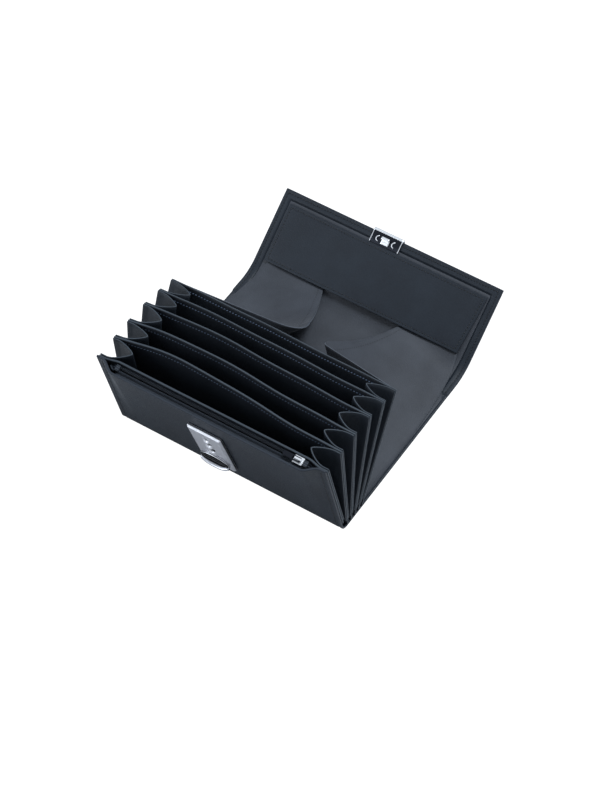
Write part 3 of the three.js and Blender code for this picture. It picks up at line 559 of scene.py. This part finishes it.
def materials():
    """Every finish of the wallet, made once."""
    if "pigmented_cowhide" in bpy.data.materials:
        return {m.name: m for m in bpy.data.materials}
    s = bpy.context.scene.wallet_leather
    grain, depth = s.grain, s.grain_depth
    made = [
        leather("pigmented_cowhide", "1f242c", "2a313a", 0.46, grain, depth, "3a404a", specular=0.3),
        leather("panel_cowhide", "1d2127", "2a2e35", 0.5, grain, depth, "525c66", specular=0.3),
        leather("gusset_calf", "20252c", "2c323a", 0.48, grain, depth, "4e5862", specular=0.35),
        leather("split_lining", "2d3037", "444850", 0.58, grain * 0.8, depth * 1.4, "6a727e", sheen=0.1),
        # a pale blue-grey copy of the dark thread, used as painted highlight on the divider rows
        thread_material("bonded_polyester_thread", "46546a"),
        thread_material("black_polyester_thread", "0c0e12"),
        tape_material("woven_polyester_tape", "3a424e", 0.8),
        plated_metal("polished_nickel_plate", "fafaff", 0.36),
        plated_metal("smoked_nickel_plate", "2b2d33", 0.28),
        plated_metal("white_nickel_slider", "f2f3f5", 0.3),
    ]
    return {m.name: m for m in made}


def hem_rise(x, s):
    """The turned edge of the flap: full height within the hem's width of its three free edges."""
    inner = np.minimum(HALF - np.abs(x), FLAP_END - s)
    rise = 1 - smooth(inner, HEM_WIDTH - 0.7, HEM_WIDTH + 0.5)
    return HEM_THICKNESS * rise * smooth(s, HEM_START - 0.6, HEM_START)


def groove(distance, width=0.7, depth=0.16):
    """The shallow channel that a row of stitches pulls into leather."""
    return -depth * np.exp(-(distance / width) ** 2)


class WALLET_OT_cover(bpy.types.Operator):
    """Make the cover and its lining, each one piece from the front panel to the flap's tip."""
    bl_idname = "wallet.cover"
    bl_label = "Cover and lining"

    def execute(self, context):
        inset = context.scene.wallet_sewing.inset
        x = spaced([-HALF, -HALF + 8, -PLATEAU, PLATEAU, HALF - 8, HALF], [12, 6, 40, 6, 12])
        s = spaced([FRONT_END, FRONT_END + 8, round(front_distance(0), 2), 0, BACK_LENGTH - 14, BACK_LENGTH,
                    BEND_END, FLAP_END - 8, FLAP_END], [12, 30, 10, 26, 16, 16, 16, 14])
        gx, gs = grid(x, s)
        hem = hem_rise(gx, gs)
        sewn = groove(HALF - np.abs(gx) - inset)
        tip = groove(FLAP_END - gs - inset)
        shape = leather_sheet(on_cover(gx, gs, 0.0), COVER_THICKNESS,
                              inner=hem + sewn + tip, outer=sewn + tip)
        across_fold(piece("cover_leather", shape, "pigmented_cowhide",
                          stands_for=("cover_back", "cover_flap")))
        first = FIRST_FOOT + 4 * FOOT_PITCH + PANEL_THICKNESS + SEAT * 2
        s = spaced([first, BACK_LENGTH - 12, BACK_LENGTH, BEND_END, FLAP_END - HEM_WIDTH - 1],
                   [24, 8, 16, 20])
        gu, gs = grid(np.linspace(-1, 1, 61), s)
        wide = lerp(HALF - EAR_INSET, HALF - HEM_WIDTH - 0.6, smooth(gs, BACK_LENGTH - 16, BACK_LENGTH - 8))
        shape = leather_sheet(on_cover(gu * wide, gs, LINING_HEIGHT), LINING_THICKNESS)
        across_fold(piece("lining_leather", shape, "split_lining",
                          stands_for=("back_lining", "flap_lining")))
        return {"FINISHED"}


class WALLET_OT_bellows(bpy.types.Operator):
    """Make the four dividers, the rear panel and the zip pocket's wall."""
    bl_idname = "wallet.bellows"
    bl_label = "Dividers and rear panel"

    def execute(self, context):
        inset = context.scene.wallet_sewing.inset + 1
        x = spaced([-HALF, -HALF + 6, HALF - 6, HALF], [6, 80, 6])
        h = spaced([0, PANEL_HEIGHT - 12, PANEL_HEIGHT], [22, 20])
        gx, gh = grid(x, h)
        for index in range(5):
            name = "rear_panel" if index == 4 else f"divider_{index + 1}"
            sewn = groove(PANEL_HEIGHT - gh - inset)
            shape = leather_sheet(on_panel(index, gx, gh), PANEL_THICKNESS, inner=sewn, outer=sewn)
            piece(name + "_leather", shape, "panel_cowhide", "cover", (name,))
        x = spaced([-HALF, -86, -PLATEAU, PLATEAU, 86, HALF], [4, 12, 50, 12, 4])
        gx, gh = grid(x, spaced([WALL_FOOT, WALL_HEIGHT], [30]))
        shape = leather_sheet(on_wall(gx, gh), PANEL_THICKNESS)
        piece("zip_pocket_wall_leather", shape, "panel_cowhide", "cover",
              ("zip_pocket_wall",))
        return {"FINISHED"}


def gusset_points(index, side, t, v):
    """A gusset's surface: flat on the panel from its edge to the seam, then a cubic curve in to the fold,
    where it runs straight across, and the same out again to the next panel."""
    seat = (PANEL_THICKNESS + GUSSET_THICKNESS) / 2 + SEAT
    top = WALL_HEIGHT if index == 0 else PANEL_HEIGHT
    front_h, rear_h = lerp(GUSSET_FOOT, top, v), lerp(GUSSET_FOOT, PANEL_HEIGHT, v)

    def front(x):
        """A point of the sheet in front, a seat away from it."""
        return on_wall(x, front_h, seat) if index == 0 else on_panel(index - 1, x, front_h, seat)

    def rear(x):
        """A point of the divider behind, a seat away from it."""
        return on_panel(index, x, rear_h, -seat)

    edge, seam = side * HALF, side * (HALF - GUSSET_SEAM)
    gap = np.linalg.norm(front(edge) - rear(edge), axis=-1)
    deepest = side * (HALF - np.sqrt(np.maximum(0, GUSSET_LEG ** 2 - (gap / 2) ** 2)))
    fold = (front(deepest) + rear(deepest)) / 2
    across = unit(rear(seam) - front(seam))
    inward = np.array([-side, 0.0, 0.0])
    ends = {-1: (front(edge), front(seam)), 1: (rear(edge), rear(seam))}
    out = np.zeros(v.shape + (3,))
    for sign, (at_edge, at_seam) in ends.items():
        q = np.abs(2 * t - 1)
        flat = np.clip((q - 0.8) / 0.2, 0, 1)[..., None]
        c = np.clip(q / 0.8, 0, 1)[..., None]
        leg = np.linalg.norm(at_seam - fold, axis=-1, keepdims=True)
        p1 = fold + across * sign * GUSSET_BEND
        p2 = at_seam + inward * leg * 0.35
        curve = (1 - c) ** 3 * fold + 3 * (1 - c) ** 2 * c * p1 + 3 * (1 - c) * c ** 2 * p2 + c ** 3 * at_seam
        leg_points = np.where(flat > 0, lerp(at_seam, at_edge, flat), curve)
        out = np.where((np.sign(2 * t - 1) == sign)[..., None] | (q == 0)[..., None], leg_points, out)
    return out


class WALLET_OT_gussets(bpy.types.Operator):
    """Make the ten folded gussets of the note compartments."""
    bl_idname = "wallet.gussets"
    bl_label = "Gussets"

    def execute(self, context):
        for side, word in ((-1, "left"), (1, "right")):
            t = np.linspace(0, 1, 49)
            t = t if side < 0 else t[::-1]
            gt, gv = grid(t, spaced([0, 1], [28]))
            for index in range(5):
                shape = leather_sheet(gusset_points(index, side, gt, gv), GUSSET_THICKNESS)
                name = f"gusset_{word}_{index + 1}"
                piece(name + "_leather", shape, "gusset_calf", "cover", (name,))
        return {"FINISHED"}


def ear_points(side, rounding, u, v):
    """A coin gusset: straight lines from its sewn edge, up the rear panel and along the cover, to its free
    edge, which runs from the panel's corner round a point, as a quadratic curve, to the slip pocket."""
    x = HALF - EAR_INSET
    panel_seat = (PANEL_THICKNESS + EAR_THICKNESS) / 2 + SEAT
    cover_seat = LINING_HEIGHT + (LINING_THICKNESS + EAR_THICKNESS) / 2 + SEAT
    last = BEND_END + POCKET_START - 2 * SEAT
    corner = on_panel(4, x, PANEL_HEIGHT - 1, panel_seat)
    foot = on_panel(4, x, EAR_FOOT, panel_seat)
    mouth = on_cover(EAR_MOUTH, last, cover_seat)
    apex = EAR_APEX - np.array([0, BACK_LENGTH / 2, 0])
    rise = lerp(PANEL_HEIGHT - 1, EAR_FOOT, np.clip(u / EAR_UPRIGHT, 0, 1))
    share = np.clip((u - EAR_UPRIGHT) / (1 - EAR_UPRIGHT), 0, 1)
    along = lerp(foot[1] + BACK_LENGTH / 2 + 2, last, share)
    on_back = on_cover(lerp(x, HALF - POCKET_INSET - 3, share ** 4), along, cover_seat)
    sewn = np.where((u < EAR_UPRIGHT)[..., None], on_panel(4, x, rise, panel_seat), on_back)
    start, end = lerp(apex, corner, rounding), lerp(apex, mouth, rounding)
    low, high = EAR_POINT
    q = np.clip((u - low) / (high - low), 0, 1)[..., None]
    point = (1 - q) ** 2 * start + 2 * (1 - q) * q * apex + q ** 2 * end
    before = np.clip(u / low, 0, 1)[..., None]
    beyond = np.clip((u - high) / (1 - high), 0, 1)[..., None]
    sag = np.array([0, 0, -EAR_SAG]) * np.sin(math.pi * beyond)
    free = np.where((u < low)[..., None], lerp(corner, start, before),
                    np.where((u < high)[..., None], point, lerp(end, mouth, beyond) + sag))
    return lerp(sewn, free, v[..., None]) * np.array([side, 1, 1])


class WALLET_OT_coin_gussets(bpy.types.Operator):
    """Make the two folded leaves of the coin tray."""
    bl_idname = "wallet.coin_gussets"
    bl_label = "Coin gussets"

    def execute(self, context):
        sewing = context.scene.wallet_sewing
        for side, word in ((-1, "left"), (1, "right")):
            u = spaced([0.02, *EAR_POINT, 1], [24, 20, 44])
            u = u if side > 0 else u[::-1]
            gu, gv = grid(u, spaced([0, 0.9, 1], [24, 6]))
            points = ear_points(side, EAR_ROUNDS[word], gu, gv)
            shape = leather_sheet(points, EAR_THICKNESS)
            across_fold(piece(f"coin_gusset_{word}_leather", shape, "split_lining",
                              stands_for=(f"coin_gusset_{word}",)))
            normal = slopes(points)[2]
            sewn = np.s_[2:-2, 26]
            for face in (1, -1):
                path = points[sewn] + face * normal[sewn] * EAR_THICKNESS / 2
                thread = stitches(path, face * normal[sewn], sewing.pitch, sewing.thread * 0.8)
                across_fold(piece(f"coin_gusset_{word}_thread_{'inner' if face > 0 else 'outer'}", thread,
                                  "black_polyester_thread"))
        return {"FINISHED"}


def pocket_grid(u, v):
    """The slip pocket over the lining, v being the share of its width from the lip: it stands off by the
    square of what is left, and its right side draws in towards the lip and curls up there."""
    first = BEND_END + POCKET_START
    seat = LINING_HEIGHT + (LINING_THICKNESS + POCKET_THICKNESS) / 2 + SEAT
    right = HALF - POCKET_INSET - POCKET_DRAW * (1 - v) ** 1.2
    x = lerp(-HALF + POCKET_INSET, right, u)
    curl = POCKET_CURL * smooth(u, 0.9, 1) * (1 - v)
    lift = POCKET_LIFT * (1 - v) ** 2 * np.sin(math.pi * u) ** 0.5 + curl
    return on_cover(x, first + v * POCKET_WIDTH, seat + lift)


class WALLET_OT_flap_pocket(bpy.types.Operator):
    """Make the slip pocket on the flap."""
    bl_idname = "wallet.flap_pocket"
    bl_label = "Slip pocket"

    def execute(self, context):
        u = spaced([0, 0.04, 0.96, 1], [10, 60, 10])
        v = spaced([0, 0.14, 0.86, 1], [12, 20, 12])
        gu, gv = grid(u, v)
        inset = context.scene.wallet_sewing.inset
        width = 2 * (HALF - POCKET_INSET)
        edge = np.minimum(np.minimum(gu, 1 - gu) * width, np.minimum(gv, 1 - gv) * POCKET_WIDTH)
        shape = leather_sheet(pocket_grid(gu, gv), POCKET_THICKNESS, inner=groove(edge - inset, depth=0.1))
        piece("flap_pocket_leather", shape, "pigmented_cowhide", "flap",
              ("flap_pocket",))
        return {"FINISHED"}


class WALLET_OT_sewing(bpy.types.Operator):
    """Sew the rows of stitches along the cover, the dividers and the slip pocket."""
    bl_idname = "wallet.sewing"
    bl_label = "Sewing"

    def execute(self, context):
        sewing = context.scene.wallet_sewing
        pitch, thick, inset = sewing.pitch, sewing.thread, sewing.inset
        # the divider rows use the pale copy of the thread as painted highlight; the other rows use the dark
        # thread
        thread, dark = "bonded_polyester_thread", "black_polyester_thread"

        def row(name, x, s, height, face, body=None, share=1.4):
            """Stitches on a face of the cover, along x and s, each a share thicker than the thread."""
            path = on_cover(x, s, height)
            normal = (on_cover(x, s, height + 1.0) - path) * face
            shape = stitches(path, unit(normal), pitch, thick * share)
            return piece(name, shape, dark, body)

        x, h = np.linspace(-HALF + 5, HALF - 5, 120), PANEL_HEIGHT - inset - 1
        for index in range(5):
            for face, word in ((-1, "front"), (1, "rear")):
                path = on_panel(index, x, h, face * PANEL_THICKNESS / 2)
                normal = unit(on_panel(index, x, h, face * (PANEL_THICKNESS / 2 + 1)) - path)
                shape = stitches(path, normal, pitch, thick * (1.5 + 0.16 * index))
                piece(f"divider_thread_{index + 1}_{word}", shape, thread, "cover")
        outer = -COVER_THICKNESS / 2
        for side, word in ((-1, "left"), (1, "right")):
            s = np.linspace(FRONT_END + 3, front_distance(3), 90)
            row(f"front_thread_{word}", side * (HALF - inset - 1.4), s, outer, -1, "cover")
            for height, face, where, low in ((COVER_TOP, 1, "inner", -10), (outer, -1, "outer", 10)):
                s = np.linspace(BACK_LENGTH + low, FLAP_END - inset, 90)
                name = f"hem_thread_{word}_{where}"
                across_fold(row(name, side * (HALF - inset), s, height, face, share=1.2))
            x = side * np.linspace(HALF - HEM_WIDTH, HALF - 0.6, 12)
            row(f"hem_tack_{word}", x, HEM_START + 1, COVER_TOP, 1, "cover")
        x = np.linspace(-HALF + inset, HALF - inset, 120)
        for height, face, where in ((COVER_TOP, 1, "inner"), (outer, -1, "outer")):
            row(f"tip_thread_{where}", x, FLAP_END - inset, height, face, "flap")
        share = np.linspace(0.0, 1.0, 60)
        du, dv = inset / (2 * (HALF - POCKET_INSET)), inset / POCKET_WIDTH
        along, across = lerp(du, 1 - du, share), lerp(dv, 1 - dv, share)
        runs = {"left": (du, across), "right": (1 - du, across), "lip": (along, dv), "tip": (along, 1 - dv)}
        normal = unit(on_cover(0.0, BEND_END + 5, 1.0) - on_cover(0.0, BEND_END + 5, 0.0))
        for word, (u, v) in runs.items():
            path = pocket_grid(u, v) + normal * (POCKET_THICKNESS / 2 - 0.12)
            shape = stitches(path, np.tile(normal, (len(path), 1)), pitch, thick * 1.5)
            piece(f"pocket_thread_{word}", shape, dark, "flap")
        return {"FINISHED"}


def axes(origin, ahead):
    """A frame from its origin and a vector along its Y, with X along the wallet and Z square to both."""
    up = unit(ahead)
    return origin, up, np.cross([1.0, 0, 0], up)


def zip_frame():
    """Origin and axes of the zip: X along it, Y up the front panel, Z to the front."""
    origin = on_cover(0.0, front_distance(ZIP_HEIGHT), 0.0, bulges=False)
    below = on_cover(0.0, front_distance(ZIP_HEIGHT - 1), 0.0, bulges=False)
    return axes(origin, origin - below)


def in_frame(basis, x, y, z):
    """Points from their distances along a frame's three axes."""
    origin, up, out = basis
    x, y, z = np.broadcast_arrays(x, y, z)
    return origin + x[..., None] * np.array([1.0, 0, 0]) + y[..., None] * up + z[..., None] * out


def zip_reach(x, towards_front):
    """How far a tape goes out from the zip's middle, to the front panel or to the pocket's wall."""
    s = front_distance(ZIP_HEIGHT)
    wall, thickness = (on_cover(x, s, 0.0), COVER_THICKNESS) if towards_front else (
        on_wall(x, ZIP_HEIGHT), PANEL_THICKNESS)
    return np.linalg.norm(wall - on_cover(x, s, 0.0, bulges=False), axis=-1) - thickness / 2 - SEAT


class WALLET_OT_zip(bpy.types.Operator):
    """Make the zip's ribbed tapes and its two rows of coiled teeth, and finish its slider and pull."""
    bl_idname = "wallet.zip"
    bl_label = "Zip"

    def execute(self, context):
        basis = zip_frame()
        low = -(COIL_HEIGHT + TAPE_THICKNESS) / 2 - SEAT / 2
        x = np.linspace(-TAPE_END, TAPE_END, 121)
        for towards_front, word in ((True, "front"), (False, "rear")):
            q = np.linspace(0, 1, 17) if towards_front else np.linspace(1, 0, 17)
            gx, gq = grid(x, q)
            reach = lerp(CHAIN_GAP / 2, zip_reach(gx, towards_front), gq)
            rib = 0.12 * np.sin(reach * 2 * math.pi / TAPE_RIB)
            sign = 1 if towards_front else -1
            shape = leather_sheet(in_frame(basis, gx, low, sign * reach), TAPE_THICKNESS, inner=rib)
            piece(f"zip_tape_{word}_weave", shape, "woven_polyester_tape", "cover",
                  (f"zip_tape_{word}",))
            turns = np.arange(-COIL_END + 0.6, COIL_END - 0.5, COIL_PITCH)
            a = np.linspace(0.15, 2 * math.pi - 0.15, 9)
            middle = sign * (CHAIN_GAP / 2 + COIL_MIDDLE)
            loop_z = middle - sign * COIL_LOOP[0] * np.cos(a)
            loop_y = 0.15 + COIL_LOOP[1] * np.sin(a)
            loop_x = np.linspace(-0.3, 0.3, 9)
            coils = [tube(in_frame(basis, turn + loop_x, loop_y, loop_z), COIL_WIRE, sides=5, up=(1, 0, 0.01))
                     for turn in turns]
            piece(f"zip_coil_{word}_teeth", joined(coils), "woven_polyester_tape", "cover",
                  (f"zip_coil_{word}",))
        for side, word in ((-1, "left"), (1, "right")):
            along = np.linspace(0, 1, 33)
            gt, gq = grid(along if side > 0 else along[::-1], np.linspace(-1, 1, 25))
            gx = side * lerp(TAPE_END + SEAT, PLATEAU + TAPE_LOOSE, gt)
            reach = gq * (np.minimum(zip_reach(gx, True), zip_reach(gx, False)) - 0.6)
            crumple = np.sin(gt * 9 + 2.3 * gq + side) + 0.7 * np.sin(gq * 7 + 5 * gt)
            points = in_frame(basis, gx, low + TAPE_CRUMPLE * crumple, reach)
            shape = leather_sheet(points, TAPE_THICKNESS * 0.7)
            piece(f"zip_tape_end_{word}", shape, "woven_polyester_tape", "cover")
        for name, material in (("zip_slider", "white_nickel_slider"), ("zip_pull", "smoked_nickel_plate"),
                               ("zip_stop_left", "woven_polyester_tape"),
                               ("zip_stop_right", "woven_polyester_tape")):
            finish_node(name, material)
        return {"FINISHED"}


def finish_node(name, material):
    """Gives a CAD node, which is kept as it is, the finish of that name."""
    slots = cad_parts[name].data.materials
    slots.clear()
    slots.append(materials()[material])


def lock_frame():
    """Origin and axes of the lock: X along the wallet, Y up the front panel, Z to the front."""
    foot = on_cover(LOCK_X, front_distance(LOCK_BOTTOM), 0.0)
    top = on_cover(LOCK_X, front_distance(LOCK_BOTTOM + LOCK_HEIGHT), 0.0)
    return axes(on_cover(LOCK_X, front_distance(LOCK_BOTTOM), -COVER_THICKNESS / 2 - SEAT), top - foot)


class WALLET_OT_lock(bpy.types.Operator):
    """Make the lock plate with its three scooped louvres, and the thumb slide."""
    bl_idname = "wallet.lock"
    bl_label = "Lock"

    def execute(self, context):
        basis = lock_frame()
        half = LOCK_WIDTH / 2
        x = spaced([-half, -half + 1.6, half - 1.6, half], [8, 110, 8])
        y = spaced([0, 1.6, LOCK_HEIGHT - 1.6, LOCK_HEIGHT], [8, 250, 8])
        gx, gy = grid(x, y)
        edge = np.minimum(half - np.abs(gx), np.minimum(gy, LOCK_HEIGHT - gy))
        face = LOCK_THICKNESS - 0.9 * (1 - smooth(edge, 0.0, 1.1)) ** 2
        # dark collects painted shade for the louvre pits
        dark = np.zeros_like(gx)
        for up, radius in LOUVRES:
            dx, dy = gx / (radius * 1.25), (gy - up) / (radius * 1.45)
            across = np.exp(-np.abs(dx) ** 4)
            scoop = SCOOP_RISE * across * np.exp(-((dy + 1.35 - 0.5 * dx ** 2) / 0.36) ** 2)
            pit = PIT_DEPTH * smooth(1.0 - dx ** 2 - ((dy - 0.45 * dx ** 2) / 0.95) ** 2, 0, 0.25)
            face = face + scoop - pit
            dark = np.maximum(dark, smooth(pit, 0.2, 0.9))
        shape = leather_sheet(in_frame(basis, gx, gy, 0.5), 1.0, inner=face - 1.0, rings=6)
        # painted shade: the pit mask goes into the edge attribute, which darkens the pits in the plated
        # finish
        shape[2][:dark.size] = dark.ravel()
        piece("lock_plate_pressing", shape, "polished_nickel_plate", "cover", ("lock_plate",))
        gu, gv = grid(np.linspace(-1, 1, 61), np.linspace(0, 1, 41))
        w = THUMB_WIDTH / 2 + THUMB_FLARE
        bottom = THUMB_DIP * np.abs(gu) ** THUMB_ARCH
        top = THUMB_HEIGHT - THUMB_CROWN * np.abs(gu) ** THUMB_ARCH
        px, py = gu * w * 0.985, lerp(bottom, top, gv)
        hollow = 1.3 + 2.3 * (1 - gv) ** 2
        ribs = THUMB_RIB_RISE * np.sin(gv * 2 * math.pi * THUMB_RIBS)
        ribs = ribs * smooth(gv, 0.2, 0.3) * (1 - smooth(gv, 0.85, 0.95))
        lip = 0.5 * np.exp(-((gv - 0.04) / 0.06) ** 2)
        height = (hollow + ribs + lip) * (0.55 + 0.45 * (1 - np.abs(gu) ** 4))
        points = in_frame(basis, px, py + THUMB_BOTTOM, LOCK_THICKNESS + 0.25 + 0.3)
        shape = leather_sheet(points, 0.6, inner=height - 0.3, rings=6)
        # painted shade over the slide's hollow above its lip, eased 12% on the rib crests as painted
        # highlights
        shape[2][:gv.size] = smooth(gv, 0.2, 0.3).ravel() * (1 - 0.12 * (ribs.ravel() > 0.1))
        piece("thumb_slide_pressing", shape, "polished_nickel_plate", "thumb", ("thumb_slide",))
        arc = np.linspace(-0.97, 0.97, 41)
        rim = in_frame(basis, arc * w, THUMB_DIP * np.abs(arc) ** THUMB_ARCH + THUMB_BOTTOM + 0.55,
                       LOCK_THICKNESS + 3.6 - 1.3 * np.abs(arc) ** 4)
        piece("thumb_slide_lip", tube(rim, 1.1, sides=10, up=basis[2]), "polished_nickel_plate",
              "thumb")
        rivets = [f"lock_rivet_{k}" for k in range(1, 5)]
        for name in ("lock_backing_plate", "slide_keeper", "slide_spring", *rivets):
            finish_node(name, "polished_nickel_plate")
        return {"FINISHED"}


class WALLET_OT_clip(bpy.types.Operator):
    """Make the flap's edge clip with its two bent claws and the catch."""
    bl_idname = "wallet.clip"
    bl_label = "Clip"

    def execute(self, context):
        tip = on_cover(LOCK_X, FLAP_END, 0.0)
        basis = axes(tip, tip - on_cover(LOCK_X, FLAP_END - 1, 0.0))
        inner, outer = COVER_TOP + SEAT, COVER_THICKNESS / 2 + SEAT
        t = CLIP_THICKNESS / 2
        around = np.linspace(-math.pi / 2, math.pi / 2, 13)
        middle, radius = (inner - outer) / 2, (inner + outer) / 2 + t
        leg_y = [-CLIP_DEPTH, -CLIP_DEPTH / 2]
        line_y = np.concatenate([leg_y, 0.2 + 0.9 * np.cos(around), leg_y[::-1]])
        line_z = np.concatenate([[-outer - t] * 2, middle + radius * np.sin(around), [inner + t] * 2])
        x = np.linspace(-CLIP_WIDTH / 2, CLIP_WIDTH / 2, 25)
        shape = leather_sheet(in_frame(basis, x[:, None], line_y, line_z), CLIP_THICKNESS)
        face = inner + CLIP_THICKNESS
        a = np.linspace(0.15, math.pi - 0.15, 15)
        parts = []
        for side in (-1, 1):
            claw_y = -CLIP_DEPTH / 2 + CLAW_REACH * np.cos(a)
            claw_z = face - 0.2 + CLAW_RISE * np.sin(a)
            claw_x = side * CLAW_OFFSET + 0.8 - CLAW_SWEEP * np.sin(a)
            parts.append(tube(in_frame(basis, claw_x, claw_y, claw_z), CLAW_WIRE, up=basis[2]))
        piece("flap_clip_pressing", shape, "smoked_nickel_plate", "flap", ("flap_clip",))
        parts.append(tube(in_frame(basis, x, 0.9, middle + 0.8), BAR_RADIUS, sides=12, up=basis[2]))
        for side in (-1, 1):
            post_y = np.linspace(0.4, -CLIP_DEPTH, 9)
            post = in_frame(basis, side * (CLIP_WIDTH / 2 - 0.35), post_y, face)
            parts.append(tube(post, 0.35, up=basis[2]))
        piece("flap_clip_claws", joined(parts), "white_nickel_slider", "flap")
        profile_y = np.array([-7.2, -5.4, -3.6, -2.6, -2.0, -2.0, -2.6, -3.6])
        profile_z = face + 0.45 + np.array([0, 0, 0.05, 0.45, 1.1, 1.8, 2.35, 2.5])
        x = np.linspace(-3, 3, 9)[:, None]
        shape = leather_sheet(in_frame(basis, x, profile_y, profile_z), 0.7, rings=4)
        piece("catch_hook_pressing", shape, "white_nickel_slider", "flap", ("catch_hook",))
        return {"FINISHED"}


class WALLET_OT_stage(bpy.types.Operator):
    """Set the photograph's camera, a pale floor and soft light."""
    bl_idname = "wallet.stage"
    bl_label = "Camera, floor and light"

    def execute(self, context):
        scene = context.scene
        settings = scene.wallet_stage
        a, e, r = (math.radians(v) for v in (VIEW_AZIMUTH, VIEW_ELEVATION, VIEW_ROLL))
        back = Vector((math.sin(a) * math.cos(e), -math.cos(a) * math.cos(e), math.sin(e)))
        right = Vector((0, 0, 1)).cross(back).normalized()
        up = back.cross(right)
        right, up = right * math.cos(r) + up * math.sin(r), up * math.cos(r) - right * math.sin(r)
        per_pixel = VIEW_DISTANCE / VIEW_FOCAL_PIXELS
        centre = Vector(VIEW_TARGET) + back * VIEW_DISTANCE
        centre -= right * (VIEW_TARGET_PIXEL[0] - IMAGE_PIXELS[0] / 2) * per_pixel
        centre += up * (VIEW_TARGET_PIXEL[1] - IMAGE_PIXELS[1] / 2) * per_pixel
        data = bpy.data.cameras.new("view")
        data.sensor_width = SENSOR_MM
        data.lens = VIEW_FOCAL_PIXELS * SENSOR_MM / IMAGE_PIXELS[1]
        data.clip_start, data.clip_end = 0.05, 20
        camera = bpy.data.objects.new("view", data)
        scene.collection.objects.link(camera)
        camera.matrix_world = Matrix((
            (right.x, up.x, back.x, centre.x * MM), (right.y, up.y, back.y, centre.y * MM),
            (right.z, up.z, back.z, centre.z * MM), (0, 0, 0, 1)))
        scene.camera = camera

        mesh = bpy.data.meshes.new("floor")
        size, below = 6.0, -0.0002
        corners = [(sx * size, sy * size, below) for sx, sy in ((-1, -1), (1, -1), (1, 1), (-1, 1))]
        mesh.from_pydata(corners, [], [(0, 1, 2, 3)])
        floor = bpy.data.objects.new("floor", mesh)
        scene.collection.objects.link(floor)
        paper, tree = new_material("white_paper_floor")
        rays = node(tree, "LightPath")
        card = node(tree, "BsdfDiffuse", {"Color": (0.82, 0.82, 0.83, 1)})
        glow = node(tree, "Emission", {"Color": (1, 1, 1, 1), "Strength": 1.35})
        seen = node(tree, "Math", {"operation": "MULTIPLY", 1: 0.8}, {0: (rays, "Is Camera Ray")})
        both = node(tree, "MixShader",
                    links={0: (seen, "Value"), 1: (card, "BSDF"), 2: (glow, "Emission")})
        node(tree, "OutputMaterial", links={"Surface": (both, "Shader")})
        mesh.materials.append(paper)

        world = bpy.data.worlds.new("studio")
        world.use_nodes = True
        tree = world.node_tree
        tree.nodes.clear()
        rays = node(tree, "LightPath")
        level = settings.world_level
        gloss = node(tree, "Math", {"operation": "MULTIPLY_ADD", 1: 1.6 * level, 2: level},
                     {0: (rays, "Is Glossy Ray")})
        soft = node(tree, "Background", {"Color": (0.85, 0.92, 1.0, 1)},
                    {"Strength": (gloss, "Value")})
        white = node(tree, "Background", {"Color": (1, 1, 1, 1), "Strength": 1.0})
        both = node(tree, "MixShader",
                    links={0: (rays, "Is Camera Ray"), 1: (soft, "Background"), 2: (white, "Background")})
        node(tree, "OutputWorld", links={"Surface": (both, "Shader")})
        scene.world = world
        for name, where, size, watts in (
                ("key", (0.25, 0.4, 1.1), 0.45, settings.key_watts),
                ("fill", (-0.85, -0.9, 0.45), 0.8, settings.fill_watts)):
            light = bpy.data.lights.new(name, "AREA")
            light.shape, light.size, light.energy = "SQUARE", size, watts
            light.color = (0.86, 0.93, 1.0)
            lamp = bpy.data.objects.new(name, light)
            scene.collection.objects.link(lamp)
            lamp.location = where
            lamp.rotation_euler = (Vector((0, 0, 0.03)) - Vector(where)).to_track_quat("-Z", "Y").to_euler()
        scene.view_settings.view_transform = "Standard"
        return {"FINISHED"}


STEPS = ("cover", "bellows", "gussets", "coin_gussets", "flap_pocket", "sewing", "zip", "lock", "clip",
         "stage")


class WALLET_PT_panel(bpy.types.Panel):
    """Lists the steps that make the wallet."""
    bl_label = "Waiter wallet"
    bl_idname = "WALLET_PT_panel"
    bl_space_type = "VIEW_3D"
    bl_region_type = "UI"
    bl_category = "Wallet"

    def draw(self, context):
        for group in ("wallet_leather", "wallet_sewing", "wallet_stage"):
            settings = getattr(context.scene, group)
            for name in settings.__annotations__:
                self.layout.prop(settings, name)
        for step in STEPS:
            self.layout.operator("wallet." + step)


CLASSES = (
    LeatherSettings, SewingSettings, StageSettings, WALLET_OT_cover, WALLET_OT_bellows, WALLET_OT_gussets,
    WALLET_OT_coin_gussets, WALLET_OT_flap_pocket, WALLET_OT_sewing, WALLET_OT_zip, WALLET_OT_lock,
    WALLET_OT_clip, WALLET_OT_stage, WALLET_PT_panel)


def register():
    for cls in CLASSES:
        bpy.utils.register_class(cls)
    bpy.types.Scene.wallet_leather = bpy.props.PointerProperty(type=LeatherSettings)
    bpy.types.Scene.wallet_sewing = bpy.props.PointerProperty(type=SewingSettings)
    bpy.types.Scene.wallet_stage = bpy.props.PointerProperty(type=StageSettings)


def unregister():
    for name in ("wallet_leather", "wallet_sewing", "wallet_stage"):
        delattr(bpy.types.Scene, name)
    for cls in reversed(CLASSES):
        bpy.utils.unregister_class(cls)


def main():
    register()
    for step in STEPS:
        getattr(bpy.ops.wallet, step)()


if __name__ == "__main__":
    main()
